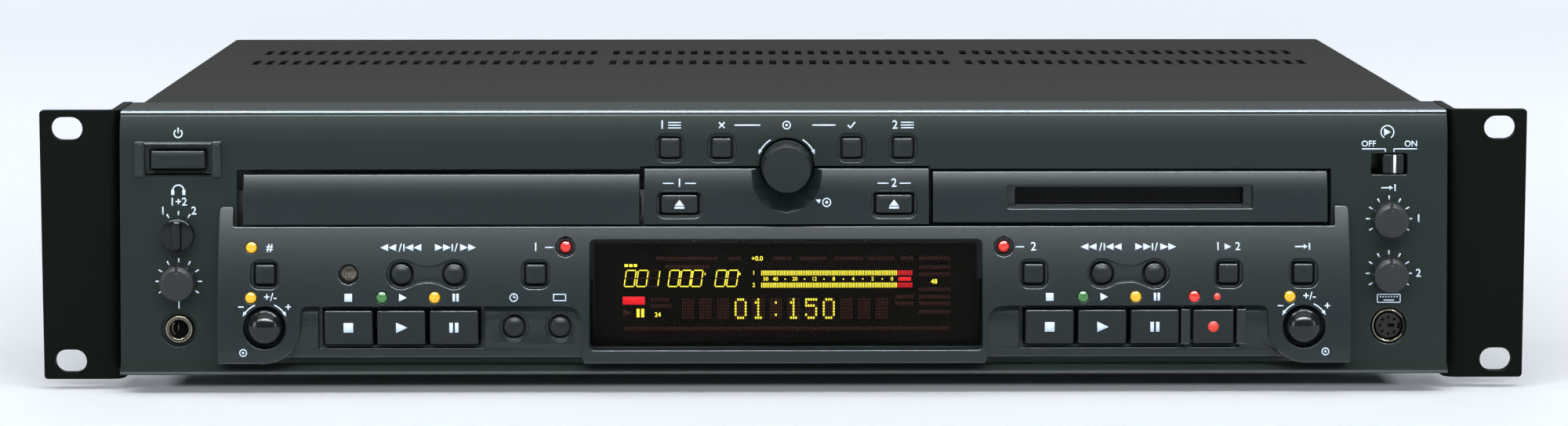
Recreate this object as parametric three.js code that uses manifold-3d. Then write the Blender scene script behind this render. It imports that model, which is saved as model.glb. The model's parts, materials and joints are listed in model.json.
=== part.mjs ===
// Rack minidisc and disc deck, 19 inch wide and two units high.
// Millimetres, +Z up, front towards -Y. Heights called Up are measured from the lower edge of the
// front panel. Distances called Out are measured forwards from the front plane of the rack ears.
import * as THREE from 'three';
import { mergeVertices } from 'three/addons/utils/BufferGeometryUtils.js';
import Module from 'manifold-3d';

const wasm = await Module();
wasm.setup();

// Clearances shared by every fit
const seatGap = 0.3;
const runningGap = 0.3;
const capGap = 0.6;
const overrun = 1;
const hair = 0.01;

// Rack ears
const earReach = 26.3;
const earHeight = 88.1;
const earThickness = 3;
const earLegDepth = 30;
const earCornerRadius = 1.2;
const earBendShare = 1.5;
const slotInset = 8.75;
const slotSpacingZ = 76.2;
const slotLength = 10.3;
const slotWidth = 7.5;

// Front panel
const footHeight = 7;
const panelMargin = 18.9;
const panelHeight = 85;
const panelBack = 28;
const panelWall = 3;
const lipOut = 11.8;
const lipHeight = 1.8;
const panelFootOut = 9.3;
const panelFootUp = 3.4;
const panelCrownOut = 3.3;
const panelCrownUp = 74;
const panelTopOut = 0.4;
const panelTopRadius = 1.8;
const bossInset = 8.5;

// Cover and chassis
const bodyInset = 3;
const bodyBack = 297;
const sheet = 1;
const chassisSheet = 1.2;
const ribProud = 2.2;
const ribLength = 235;
const ribHeight = 9;
const coverDrop = 0.6;
const lidCornerRadius = 1.6;
const ventLength = 17.5;
const ventWidth = 2.5;
const ventPitch = 4.9;
const ventGroupGap = 8.4;
const ventsInGroup = 26;
const frontVentBack = 190;
const rearVentBack = 234;
const footRadius = 10;
const footInset = 45;

// Control escutcheon, the raised lower half of the panel
const hornGap = 1.05;
const hornUp = 54.1;
const hornWidth = 4.6;
const escutcheonTopUp = 47.85;
const escutcheonBottomUp = 4.4;
const escutcheonTopOut = 6.2;
const escutcheonMidOut = 15.3;
const escutcheonMidUp = 30;
const escutcheonLowOut = 16.9;
const escutcheonLowUp = 8;
const escutcheonEdgeRadius = 0.8;
const escutcheonWall = 3;
const hollowOut = 10.3;
const hollowRim = 3;

// Transport decks, stepped back from the escutcheon
const deckBottomUp = 6;
const deckTopUp = 22.8;
const deckTopOut = 11.9;
const deckFloorOut = 13.5;
const deckInnerGap = 2;
const deckOuterGap = 15.3;
const deckCornerRadius = 2.5;
const deckInnerRadius = 6;
const pitchLobeRadius = 12;

// Display
const displayX = 0.4;
const displayWidth = 126.8;
const displayBottomUp = 8.6;
const displayTopUp = 43.8;
const displayOut = 9.2;
const displayRadius = 1.8;
const lensThickness = 1.6;
const lensRim = 1.5;
const lensFrameWall = 1.6;
const moduleDepth = 9;
const moduleFootShare = 0.9;

// Tray, centre and minidisc fronts
const openingBottomUp = 46;
const openingSide = 1.35;
const openingTopUp = 66;
const openingMiddleTopUp = 67;
const frontsBottomOut = 8.3;
const frontsTopOut = 5;
const frontsBackOut = 1;
const frontBreakShare = 5 / 6;
const doorGap = 1.5;
const doorWidth = 128;
const doorBottomUp = 48.5;
const doorTopUp = 64.5;
const centreX = 0.65;
const centreWidth = 92.1;
const centreBottomUp = 48.5;
const centreTopUp = 66.3;
const minidiscGap = 1.25;
const minidiscWidth = 127.8;
const minidiscBottomUp = 49.1;
const minidiscTopUp = 65.3;
const slotOffset = 0.1;
const slotUp = 57.2;
const slotOpeningWidth = 74;
const slotOpeningHeight = 5.6;
const slotBevelWidth = 79.6;
const slotBevelHeight = 7.5;
const slotBevelDepth = 2.2;

// Columns and rows of controls
const knobColumnGap = 13.35;
const pitchColumnInset = 11.6;
const sourceGap = 17;
const dubbingOffset = 4.9;
const leftKeysGap = 19.3;
const rightKeysGap = 20.1;
const keyGap = 1.4;
const timeSpacing = 14.8;
const displayButtonGap = 9.2;
const recordGap = 1.9;
const jogX = 0.7;
const innerMenuSpread = 21;
const outerMenuSpread = 37.7;
const ejectSpread = 34.7;
const menuUp = 72.9;
const ejectUp = 55;
const jogUp = 67.2;
const squareRowUp = 32.9;
const lampRowUp = 41.4;
const stateLampUp = 25.6;
const transportUp = 15.9;
const pitchUp = 16;
const powerUp = 69.3;
const switchUp = 67.5;
const selectorUp = 45.2;
const volumeUp = 30;
const phonesUp = 14.5;
const inputLeftUp = 49.8;
const inputRightUp = 32.1;
const keyboardUp = 15.1;

// Buttons
const squareCap = 6.2;
const squareRadius = 0.6;
const ringMargin = 1.55;
const ringDepth = 0.35;
const capProud = 0.35;
const skipRadius = 3.25;
const skipWaist = 2.5;
const ejectWidth = 11.8;
const ejectHeight = 6;
const keyWidth = 15.6;
const keyHeight = 11;
const keyOut = 15.2;
const recordWidth = 13.2;
const guardWidth = 3;
const keyFrameMargin = 1.4;
const powerWidth = 17.6;
const powerHeight = 5.8;
const powerProud = 1.2;
const powerTravel = 2.5;
const bezelWidth = 28;
const bezelHeight = 11.4;
const bezelCheek = 3;
const bezelRim = 0.7;
const bezelProud = 1.3;
const bezelDepth = 1.4;
const buttonTravel = 1;
const flangeReach = 1.2;
const flangeThickness = 1;
const plungerSize = 3;
const screwRecessRadius = 3.3;
const screwRecessDepth = 1.6;

// Knobs, shafts, lamps and sockets
const knobRadius = 5.7;
const knobProud = 6.5;
const knobStand = 0.5;
const knobRound = 0.9;
const knobRoundShare = 1 / 3;
const selectorRadius = 5.35;
const selectorProud = 3.2;
const selectorGrip = 1.6;
const selectorGripDepth = 2.2;
const shaftRadius = 2.5;
const potRadius = 6;
const potDepth = 5;
const jogRadius = 7.7;
const jogSkirtRadius = 8.3;
const jogSkirt = 2;
const jogOut = 16;
const jogDishRadius = 13;
const jogDishDepth = 3;
const jogShaftRadius = 3;
const pitchRadius = 5.9;
const pitchDomeShare = 0.72;
const pitchOut = 19.5;
const pitchRecessRadius = 6.9;
const pitchRecessDepth = 4;
const pushTravel = 0.8;
const lampRadius = 1.7;
const lampProud = 0.8;
const lampTipRadiusShare = 0.8;
const lampTipHeightShare = 0.4;
const lampRingRadius = 3.2;
const lampRingDepth = 0.8;
const switchWindowWidth = 11.8;
const switchWindowHeight = 6.9;
const switchCapWidth = 6.6;
const switchCapHeight = 6.1;
const switchRestX = 1.3;
const switchSlideDepth = 1.4;
const phonesRecessRadius = 5.75;
const phonesRingRadius = 4.45;
const phonesBoreRadius = 3.2;
const phonesRingProud = 0.2;
const phonesBodySize = 12;
const phonesBodyDepth = 9;
const keyboardRecessRadius = 5.9;
const keyboardRingRadius = 5.3;
const keyboardRingWall = 0.45;
const keyboardCoreRadius = 4.1;
const keyboardDepth = 5;
const socketRecessDepth = 1.2;

// Boards and mechanisms
const boardBack = 9.6;
const boardThickness = 1.6;
const boardMargin = 2.5;
const boardInset = 6;
const trayBottomUp = 49;
const trayThickness = 6;
const trayLength = 172;
const trayFloor = 2.2;
const trayRim = 3;
const discBack = 70;
const spindleSlot = 30;
const turntableRadius = 13;
const spindleRadius = 7.3;
const spindleHeight = 2.4;
const mechanismFront = 14;
const cdBaseDepth = 9;
const cdBack = 196;
const railWall = 4;
const railLip = 2;
const bridgeWidth = 30;
const bridgeThickness = 3;
const clampRadius = 14;
const clampGap = 2;
const legSize = 10;
const cartridgeWidth = 73.4;
const cartridgeHeight = 7;
const cartridgeDepth = 100;
const bayWall = 3;
const minidiscBack = 140;
const flapThickness = 1;
const flapInset = 0.3;
const mainBoardFront = 205;
const mainBoardLift = 6;
const mainBoardInset = 22;
const transformerWidth = 58;
const transformerHeight = 46;
const transformerDepth = 50;
const inletWidth = 27;
const inletHeight = 20;
const inletWall = 1.6;
const inletDepth = 17;
const inletPin = 2;
const inletPinSpread = 7;
const inletPinShare = 0.2;
const phonoRadius = 4.4;
const phonoSpacing = 18;
const phonoRows = 2;
const phonoColumns = 4;
const rearProud = 6;

// Sizes that follow from the ones above
const doorLeftX = centreX - centreWidth / 2 - doorGap - doorWidth;
const minidiscLeftX = centreX + centreWidth / 2 + minidiscGap;
const openingHalf = Math.max(-doorLeftX, minidiscLeftX + minidiscWidth) + openingSide;
const slotX = minidiscLeftX + minidiscWidth / 2 - slotOffset;
const discRadius = doorWidth / 2 - trayRim;
const displayHalf = displayWidth / 2;
const keyPitch = keyWidth + keyGap;
const deckInnerX = displayHalf + deckInnerGap;
const sourceX = displayHalf + sourceGap;
const displayButtonX = -displayHalf - displayButtonGap;
const timeX = displayButtonX - timeSpacing;
const leftPlayX = timeX - keyPitch - leftKeysGap;
const rightPlayX = deckInnerX + keyPitch + rightKeysGap;
const recordX = rightPlayX + 2 * keyPitch + recordGap;
const dubbingX = recordX + dubbingOffset;
const screwX = leftPlayX - keyPitch;
const deckOuterX = keyPitch - leftPlayX + deckOuterGap;
const pitchColumnX = deckOuterX + pitchColumnInset;
const escutcheonHalf = Math.max(openingHalf + hornGap + hornWidth, deckOuterX + 2 * pitchLobeRadius);
const escutcheonWidth = 2 * escutcheonHalf;
const knobColumnX = escutcheonHalf + knobColumnGap;
const panelHalf = knobColumnX + panelMargin;
const panelWidth = 2 * panelHalf;
const panelBottom = footHeight;
const panelTop = panelBottom + panelHeight;
const rackWidth = panelWidth + 2 * earReach;
const slotSpacingX = rackWidth - 2 * slotInset;
const bodyWidth = panelWidth - 2 * bodyInset;
const boardWidth = panelWidth - 2 * boardInset;
const mainBoardWidth = bodyWidth - 2 * mainBoardInset;
const bodyHalf = bodyWidth / 2;
const boardFront = boardBack - boardThickness;
const chassisHalf = bodyHalf - sheet - seatGap;
const lidTop = panelTop - coverDrop;
const deepestOut = Math.max(pitchOut, jogOut);
const backMost = bodyBack + rearProud;
const originY = (backMost - deepestOut) / 2;
const up = (height) => panelBottom + height;

// Shapes, solids and meshes
const arcSteps = 3;
const capSteps = 2;
const faceSteps = 5;
const roundSteps = 20;
const smallRoundSteps = 10;
const flatSteps = 1;
const lampSteps = 8;
const toProfile = new THREE.Matrix4().makeBasis(
  new THREE.Vector3(0, 1, 0), new THREE.Vector3(0, 0, 1), new THREE.Vector3(1, 0, 0));

function solid(geometry) {
  const bare = geometry.index ? geometry.toNonIndexed() : geometry.clone();
  bare.deleteAttribute('normal');
  bare.deleteAttribute('uv');
  const merged = mergeVertices(bare);
  return new wasm.Manifold(new wasm.Mesh({
    numProp: 3,
    vertProperties: Float32Array.from(merged.attributes.position.array),
    triVerts: Uint32Array.from(merged.index.array),
  }));
}

function surface(body) {
  const mesh = body.getMesh();
  const geometry = new THREE.BufferGeometry();
  geometry.setAttribute('position', new THREE.BufferAttribute(mesh.vertProperties, 3));
  geometry.setIndex(new THREE.BufferAttribute(mesh.triVerts, 1));
  geometry.computeVertexNormals();
  return geometry;
}

// A flat outline in X and Z, extruded forwards from Y = back
function forward(shape, depth, back, steps = arcSteps) {
  const geometry = new THREE.ExtrudeGeometry(shape, { depth, bevelEnabled: false, curveSegments: steps });
  geometry.rotateX(Math.PI / 2);
  geometry.translate(0, back, 0);
  return solid(geometry);
}

// A flat outline in Y and Z, extruded along X about x
function across(shape, width, x, steps = arcSteps) {
  const settings = { depth: width, bevelEnabled: false, curveSegments: steps };
  const geometry = new THREE.ExtrudeGeometry(shape, settings);
  geometry.applyMatrix4(toProfile);
  geometry.translate(x - width / 2, 0, 0);
  return solid(geometry);
}

// A flat outline in X and Y, extruded upwards from Z = bottom
function upward(shape, height, bottom, steps = arcSteps) {
  const settings = { depth: height, bevelEnabled: false, curveSegments: steps };
  const geometry = new THREE.ExtrudeGeometry(shape, settings);
  geometry.translate(0, 0, bottom);
  return solid(geometry);
}

// A box between two X, two Y and two Z planes
function block(left, right, front, back, bottom, top) {
  const geometry = new THREE.BoxGeometry(right - left, back - front, top - bottom);
  geometry.translate((left + right) / 2, (front + back) / 2, (bottom + top) / 2);
  return solid(geometry);
}

// A turned solid about a Y axis at x, z: the profile lists radius and distance forwards of back
function turned(points, x, z, back, steps = roundSteps) {
  const profile = points.map(([radius, out]) => new THREE.Vector2(radius, out));
  const geometry = new THREE.LatheGeometry(profile, steps);
  geometry.rotateX(Math.PI);
  geometry.translate(x, back, z);
  return solid(geometry);
}

function disc(radius, x, z, back, depth, steps = roundSteps) {
  return turned([[0, 0], [radius, 0], [radius, depth], [0, depth]], x, z, back, steps);
}

function join(...bodies) {
  return bodies.reduce((sum, body) => sum.add(body));
}

function cut(body, ...tools) {
  return tools.reduce((rest, tool) => rest.subtract(tool), body);
}

// A rounded rectangle about x, z
function roundedRect(x, z, width, height, radius, shape = new THREE.Shape()) {
  const left = x - width / 2;
  const right = x + width / 2;
  const low = z - height / 2;
  const high = z + height / 2;
  shape.moveTo(left + radius, low);
  shape.lineTo(right - radius, low);
  shape.absarc(right - radius, low + radius, radius, -Math.PI / 2, 0, false);
  shape.lineTo(right, high - radius);
  shape.absarc(right - radius, high - radius, radius, 0, Math.PI / 2, false);
  shape.lineTo(left + radius, high);
  shape.absarc(left + radius, high - radius, radius, Math.PI / 2, Math.PI, false);
  shape.lineTo(left, low + radius);
  shape.absarc(left + radius, low + radius, radius, Math.PI, Math.PI * 3 / 2, false);
  return shape;
}

// A plain outline through the given points
function outline(points) {
  return new THREE.Shape(points.map(([a, b]) => new THREE.Vector2(a, b)));
}

// How far out the faces stand at a height
function panelOut(height) {
  const lean = (panelFootOut - panelCrownOut) / (panelCrownUp - panelFootUp);
  const straight = panelFootOut - lean * (height - panelFootUp);
  const crown = Math.max(0, height - panelCrownUp) / (panelHeight - panelCrownUp);
  const drop = panelCrownOut - lean * (panelHeight - panelCrownUp) - panelTopOut;
  return straight - drop * crown * crown;
}

function escutcheonOut(height) {
  const bend = hornUp - 2 * escutcheonMidUp + escutcheonLowUp;
  const slope = 2 * (hornUp - escutcheonMidUp);
  const fall = hornUp - Math.max(height, escutcheonLowUp);
  const t = (slope - Math.sqrt(slope * slope - 4 * bend * fall)) / (2 * bend);
  const rest = 1 - t;
  return rest * rest * escutcheonTopOut + 2 * t * rest * escutcheonMidOut + t * t * escutcheonLowOut;
}

function frontsOut(height) {
  const lean = (frontsBottomOut - frontsTopOut) / (centreTopUp - centreBottomUp);
  return frontsBottomOut - lean * (height - centreBottomUp);
}

function hollowWallOut(height) {
  return Math.min(escutcheonOut(height) - escutcheonWall, hollowOut);
}

// Samples of a face as outline points in Y and Z, from one height to another
function facePoints(face, from, to, count) {
  const points = [];
  for (let i = 0; i <= count; i += 1) {
    const height = from + (to - from) * i / count;
    points.push([-face(height), up(height)]);
  }
  return points;
}

// Controls: name, place, cap outline, the face they stand in and the wall they pass
const deckFloorFace = (height) => {
  const share = Math.max(0, height - transportUp) / (deckTopUp - transportUp);
  return deckFloorOut - (deckFloorOut - deckTopOut) * share * share;
};
const onPanel = { face: panelOut, wall: (height) => panelOut(height) - panelWall };
const onEscutcheon = { face: escutcheonOut, wall: hollowWallOut };
const onDeck = { face: deckFloorFace, wall: () => hollowOut };
const frontsFlangeOut = panelOut(openingMiddleTopUp + flangeReach) - panelWall - seatGap;
const frontsFlangeBack = frontsFlangeOut - flangeThickness - seatGap;
const onCentre = { face: frontsOut, wall: () => frontsFlangeBack };

const square = { width: squareCap, height: squareCap, radius: squareRadius };
const round = { width: 2 * skipRadius, height: 2 * skipRadius, radius: skipRadius - capGap / 2 };
const bar = { width: ejectWidth, height: ejectHeight, radius: squareRadius };

const capButtons = [
  { name: 'menu_button_outer_left', x: jogX - outerMenuSpread, up: menuUp, ...square, ...onPanel },
  { name: 'menu_button_inner_left', x: jogX - innerMenuSpread, up: menuUp, ...square, ...onPanel },
  { name: 'menu_button_inner_right', x: jogX + innerMenuSpread, up: menuUp, ...square, ...onPanel },
  { name: 'menu_button_outer_right', x: jogX + outerMenuSpread, up: menuUp, ...square, ...onPanel },
  { name: 'open_close_button', x: jogX - ejectSpread, up: ejectUp, ...bar, ...onCentre },
  { name: 'eject_button', x: jogX + ejectSpread, up: ejectUp, ...bar, ...onCentre },
  { name: 'key_button', x: -pitchColumnX, up: squareRowUp, ...square, ...onEscutcheon },
  { name: 'disc_source_button', x: -sourceX, up: squareRowUp, ...square, ...onEscutcheon },
  { name: 'minidisc_source_button', x: sourceX, up: squareRowUp, ...square, ...onEscutcheon },
  { name: 'dubbing_button', x: dubbingX, up: squareRowUp, ...square, ...onEscutcheon },
  { name: 'input_select_button', x: pitchColumnX, up: squareRowUp, ...square, ...onEscutcheon },
  { name: 'disc_skip_back_button', x: leftPlayX, up: squareRowUp, ...round, ...onEscutcheon, pair: 1 },
  { name: 'disc_skip_forward_button', x: leftPlayX + keyPitch, up: squareRowUp, ...round, ...onEscutcheon },
  { name: 'minidisc_skip_back_button', x: rightPlayX, up: squareRowUp, ...round, ...onEscutcheon, pair: 1 },
  { name: 'minidisc_skip_forward_button', x: rightPlayX + keyPitch, up: squareRowUp, ...round, ...onEscutcheon },
  { name: 'time_button', x: timeX, up: transportUp, ...round, ...onDeck },
  { name: 'display_button', x: displayButtonX, up: transportUp, ...round, ...onDeck },
];
const isSkip = (button) => button.radius === round.radius && button.face === escutcheonOut;

const transportKeys = [
  { name: 'disc_stop_key', x: leftPlayX - keyPitch, width: keyWidth },
  { name: 'disc_play_key', x: leftPlayX, width: keyWidth },
  { name: 'disc_ready_key', x: leftPlayX + keyPitch, width: keyWidth },
  { name: 'minidisc_stop_key', x: rightPlayX - keyPitch, width: keyWidth },
  { name: 'minidisc_play_key', x: rightPlayX, width: keyWidth },
  { name: 'minidisc_ready_key', x: rightPlayX + keyPitch, width: keyWidth },
  { name: 'minidisc_record_key', x: recordX, width: recordWidth },
];

const lamps = [
  { x: -pitchColumnX - squareCap + lampRadius, up: lampRowUp },
  { x: -sourceX + squareCap + 2 * lampRadius, up: lampRowUp, ring: true },
  { x: sourceX - squareCap - 2 * lampRadius, up: lampRowUp, ring: true },
  { x: -pitchColumnX - squareCap + lampRadius, up: stateLampUp },
  { x: leftPlayX - squareCap, up: stateLampUp },
  { x: leftPlayX + keyPitch - squareCap, up: stateLampUp },
  { x: rightPlayX - squareCap, up: stateLampUp },
  { x: rightPlayX + keyPitch - squareCap, up: stateLampUp },
  { x: recordX - squareCap, up: stateLampUp },
  { x: pitchColumnX - squareCap + lampRadius, up: stateLampUp },
];

const knobs = [
  { name: 'phones_volume_knob', x: -knobColumnX, up: volumeUp },
  { name: 'input_knob_left', x: knobColumnX, up: inputLeftUp },
  { name: 'input_knob_right', x: knobColumnX, up: inputRightUp },
];

// A cap outline grown by a margin
function capOutline(button, margin = 0) {
  const radius = Math.min(button.radius + margin, (button.height + 2 * margin) / 2 - hair);
  return roundedRect(button.x, up(button.up), button.width + 2 * margin, button.height + 2 * margin, radius);
}

function stepsOf(button) {
  return button.radius > squareRadius ? faceSteps - 1 : capSteps;
}

function flangeOut(button) {
  return button.wall(button.up + button.height / 2 + flangeReach) - seatGap;
}

// The recess that frames a cap, level at its floor where the face leans
function ringCut(button) {
  const half = button.height / 2 + ringMargin;
  const floor = button.face(button.up + half) - ringDepth;
  const shape = capOutline({ ...button, radius: button.radius + ringMargin / 2 }, ringMargin);
  return forward(shape, deepestOut, -floor, Math.max(stepsOf(button), arcSteps));
}

function capHole(button) {
  return forward(capOutline(button, capGap), deepestOut + panelBack, panelBack, stepsOf(button));
}

// The shared recess of two skip buttons, drawn in between them
function skipPairCut(button) {
  const radius = skipRadius + ringMargin;
  const z = up(button.up);
  const right = button.x + keyPitch;
  const angle = Math.PI / 3;
  const rise = radius * Math.sin(angle);
  const along = radius * Math.cos(angle);
  const pull = 2 * skipWaist - rise;
  const middle = (button.x + right) / 2;
  const shape = new THREE.Shape();
  shape.absarc(button.x, z, radius, angle, 2 * Math.PI - angle, false);
  shape.quadraticCurveTo(middle, z - pull, right - along, z - rise);
  shape.absarc(right, z, radius, angle - Math.PI, Math.PI - angle, false);
  shape.quadraticCurveTo(middle, z + pull, button.x + along, z + rise);
  const floor = button.face(button.up + radius) - ringDepth;
  return forward(shape, deepestOut, -floor, faceSteps);
}

function capButton(button) {
  const out = button.capOut ?? button.face(button.up) + capProud;
  const seat = flangeOut(button);
  const back = flangeThickness - seat;
  const cap = forward(capOutline(button), out + back, back, stepsOf(button));
  const flange = forward(capOutline({ ...button, radius: squareRadius }, flangeReach), flangeThickness, back,
    flatSteps);
  const plungerBack = boardFront - (button.travel ?? buttonTravel) - 2 * seatGap;
  const z = up(button.up);
  const half = plungerSize / 2;
  const plunger = block(button.x - half, button.x + half, -seat, plungerBack, z - half, z + half);
  return join(cap, flange, plunger);
}

// Front panel
function frontPanel() {
  const shape = new THREE.Shape();
  shape.moveTo(panelBack, up(0));
  shape.lineTo(-lipOut, up(0));
  shape.lineTo(-lipOut, up(lipHeight));
  shape.lineTo(-panelFootOut, up(panelFootUp));
  for (const [y, z] of facePoints(panelOut, panelCrownUp, panelHeight - panelTopRadius, arcSteps)) {
    shape.lineTo(y, z);
  }
  const edge = panelOut(panelHeight - panelTopRadius);
  shape.quadraticCurveTo(-edge, up(panelHeight), panelTopRadius - edge, up(panelHeight));
  shape.lineTo(panelBack, up(panelHeight));
  const shell = across(shape, panelWidth, 0);
  const inside = across(outline([
    [panelBack + overrun, up(panelWall)],
    [panelWall - panelFootOut, up(panelWall)],
    [panelWall - panelOut(panelFootUp + panelWall), up(panelFootUp + panelWall)],
    ...facePoints((height) => panelOut(height) - panelWall, panelCrownUp, panelHeight - panelWall, capSteps),
    [panelBack + overrun, up(panelHeight - panelWall)],
  ]), panelWidth - 2 * panelWall, 0);

  const window = roundedRect(0, up((displayBottomUp + openingBottomUp) / 2 - overrun),
    escutcheonWidth - 4 * hollowRim, openingBottomUp - displayBottomUp - 2 * overrun, hollowRim);
  const doorRight = doorLeftX + doorWidth + seatGap;
  const minidiscRight = minidiscLeftX + minidiscWidth;
  const opening = outline([
    [-openingHalf, up(openingBottomUp)],
    [Math.max(openingHalf, minidiscRight + seatGap), up(openingBottomUp)],
    [Math.max(openingHalf, minidiscRight + seatGap), up(openingTopUp)],
    [centreX + centreWidth / 2 + seatGap, up(openingTopUp)],
    [centreX + centreWidth / 2 + seatGap, up(openingMiddleTopUp)],
    [doorRight, up(openingMiddleTopUp)],
    [doorRight, up(openingTopUp)],
    [-openingHalf, up(openingTopUp)],
  ]);
  const through = deepestOut + panelBack;
  const jogHole = disc(jogSkirtRadius + capGap, jogX, up(jogUp), panelBack, through);
  const switchHole = forward(roundedRect(knobColumnX, up(switchUp), switchWindowWidth, switchWindowHeight,
    squareRadius), through, panelBack);
  const shaftHoles = [...knobs, { x: -knobColumnX, up: selectorUp }].map((knob) =>
    disc(shaftRadius + runningGap, knob.x, up(knob.up), panelBack, through, smallRoundSteps));
  const menus = capButtons.filter((button) => button.face === panelOut);
  const sockets = [
    disc(phonesRingRadius + seatGap, -knobColumnX, up(phonesUp), panelBack, through),
    disc(phonesRecessRadius, -knobColumnX, up(phonesUp), socketRecessDepth - panelOut(phonesUp), lipOut),
    disc(keyboardRingRadius + seatGap, knobColumnX, up(keyboardUp), panelBack, through),
    disc(keyboardRecessRadius, knobColumnX, up(keyboardUp), socketRecessDepth - panelOut(keyboardUp), lipOut),
  ];

  // Power bezel: two cheeks, a low frame and the recess around the cap
  const bezelFace = panelOut(powerUp);
  const cheekX = (bezelWidth - bezelCheek) / 2;
  const frame = forward(roundedRect(-knobColumnX, up(powerUp), bezelWidth - bezelCheek, bezelHeight - bezelRim,
    squareRadius), panelWall, panelWall - bezelFace - bezelRim);
  const cheeks = [-cheekX, cheekX].map((offset) =>
    forward(roundedRect(offset - knobColumnX, up(powerUp), bezelCheek, bezelHeight, squareRadius),
      panelWall, panelWall - bezelFace - bezelProud));
  const recess = forward(roundedRect(-knobColumnX, up(powerUp), bezelWidth - 2 * bezelCheek - runningGap,
    bezelHeight - 3 * bezelRim, squareRadius), deepestOut, bezelDepth - bezelFace);

  // Bosses that carry the control board
  const bossX = panelWidth / 2 - panelWall - 2 * seatGap - 2 * bezelCheek;
  const bosses = [];
  for (const x of [-bossX, bossX]) {
    for (const height of [bossInset, panelHeight - bossInset]) {
      const back = boardFront - seatGap;
      bosses.push(disc(panelWall, x, up(height), back, back + panelOut(height) - seatGap, smallRoundSteps));
    }
  }
  const body = join(cut(shell, inside), ...bosses, frame, ...cheeks);
  const holes = [forward(window, through, panelBack), forward(opening, through, panelBack), jogHole, switchHole];
  return cut(body, recess, capHole(powerButton()), ...holes, ...shaftHoles, ...menus.map(ringCut),
    ...menus.map(capHole), ...sockets);
}

function powerButton() {
  return {
    x: -knobColumnX, up: powerUp, width: powerWidth, height: powerHeight, radius: squareRadius,
    face: panelOut, wall: onPanel.wall, capOut: panelOut(powerUp) + powerProud, travel: powerTravel,
  };
}

// The outline of the escutcheon, seen from the front
function escutcheonOutline() {
  const half = escutcheonWidth / 2;
  const low = up(escutcheonBottomUp);
  const step = up(deckBottomUp);
  const lobeX = deckOuterX + pitchLobeRadius;
  const rise = pitchLobeRadius - (deckBottomUp - escutcheonBottomUp);
  const turn = Math.acos(rise / pitchLobeRadius);
  const radius = escutcheonEdgeRadius;
  const shape = new THREE.Shape();
  shape.moveTo(-half, low + radius);
  shape.quadraticCurveTo(-half, low, radius - half, low);
  shape.absarc(-lobeX, low + pitchLobeRadius, pitchLobeRadius, -Math.PI / 2, turn - Math.PI / 2, false);
  shape.lineTo(-deckInnerX, step);
  shape.lineTo(radius - deckInnerX, low);
  shape.lineTo(deckInnerX - radius, low);
  shape.lineTo(deckInnerX, step);
  shape.absarc(lobeX, low + pitchLobeRadius, pitchLobeRadius, -Math.PI / 2 - turn, -Math.PI / 2, false);
  shape.lineTo(half - radius, low);
  shape.quadraticCurveTo(half, low, half, low + radius);
  const top = up(hornUp);
  const upper = up(escutcheonTopUp);
  const inner = half - hornWidth;
  shape.lineTo(half, top - 2 * radius);
  shape.quadraticCurveTo(half, top, half - 2 * radius, top);
  shape.lineTo(inner, top);
  shape.lineTo(inner, upper + radius);
  shape.quadraticCurveTo(inner, upper, inner - radius, upper);
  shape.lineTo(radius - inner, upper);
  shape.quadraticCurveTo(-inner, upper, -inner, upper + radius);
  shape.lineTo(-inner, top);
  shape.lineTo(2 * radius - half, top);
  shape.quadraticCurveTo(-half, top, -half, top - 2 * radius);
  return shape;
}

// A deck, side -1 on the left and 1 on the right: the space in front of its floor
function deckCut(side) {
  const low = up(0);
  const top = up(deckTopUp);
  const centreZ = up(escutcheonBottomUp) + pitchLobeRadius;
  const lobeX = deckOuterX + pitchLobeRadius;
  const shape = new THREE.Shape();
  shape.moveTo(side * lobeX, low);
  shape.lineTo(side * lobeX, centreZ - pitchLobeRadius);
  shape.absarc(side * lobeX, centreZ, pitchLobeRadius, -Math.PI / 2, -Math.PI / 2 - side * Math.PI / 2, side > 0);
  shape.lineTo(side * deckOuterX, top - deckCornerRadius);
  shape.quadraticCurveTo(side * deckOuterX, top, side * (deckOuterX - deckCornerRadius), top);
  shape.lineTo(side * (deckInnerX + deckInnerRadius), top);
  shape.quadraticCurveTo(side * deckInnerX, top, side * deckInnerX, top - deckInnerRadius);
  shape.lineTo(side * deckInnerX, low);
  const plan = forward(shape, deepestOut + panelBack, panelBack, faceSteps);
  const front = -deepestOut - overrun;
  const profile = outline([
    [front, low - overrun],
    [-deckFloorOut, low - overrun],
    ...facePoints(deckFloorFace, transportUp, deckTopUp, arcSteps),
    [-deckTopOut, top + overrun],
    [front, top + overrun],
  ]);
  return plan.intersect(across(profile, rackWidth, 0));
}

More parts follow.
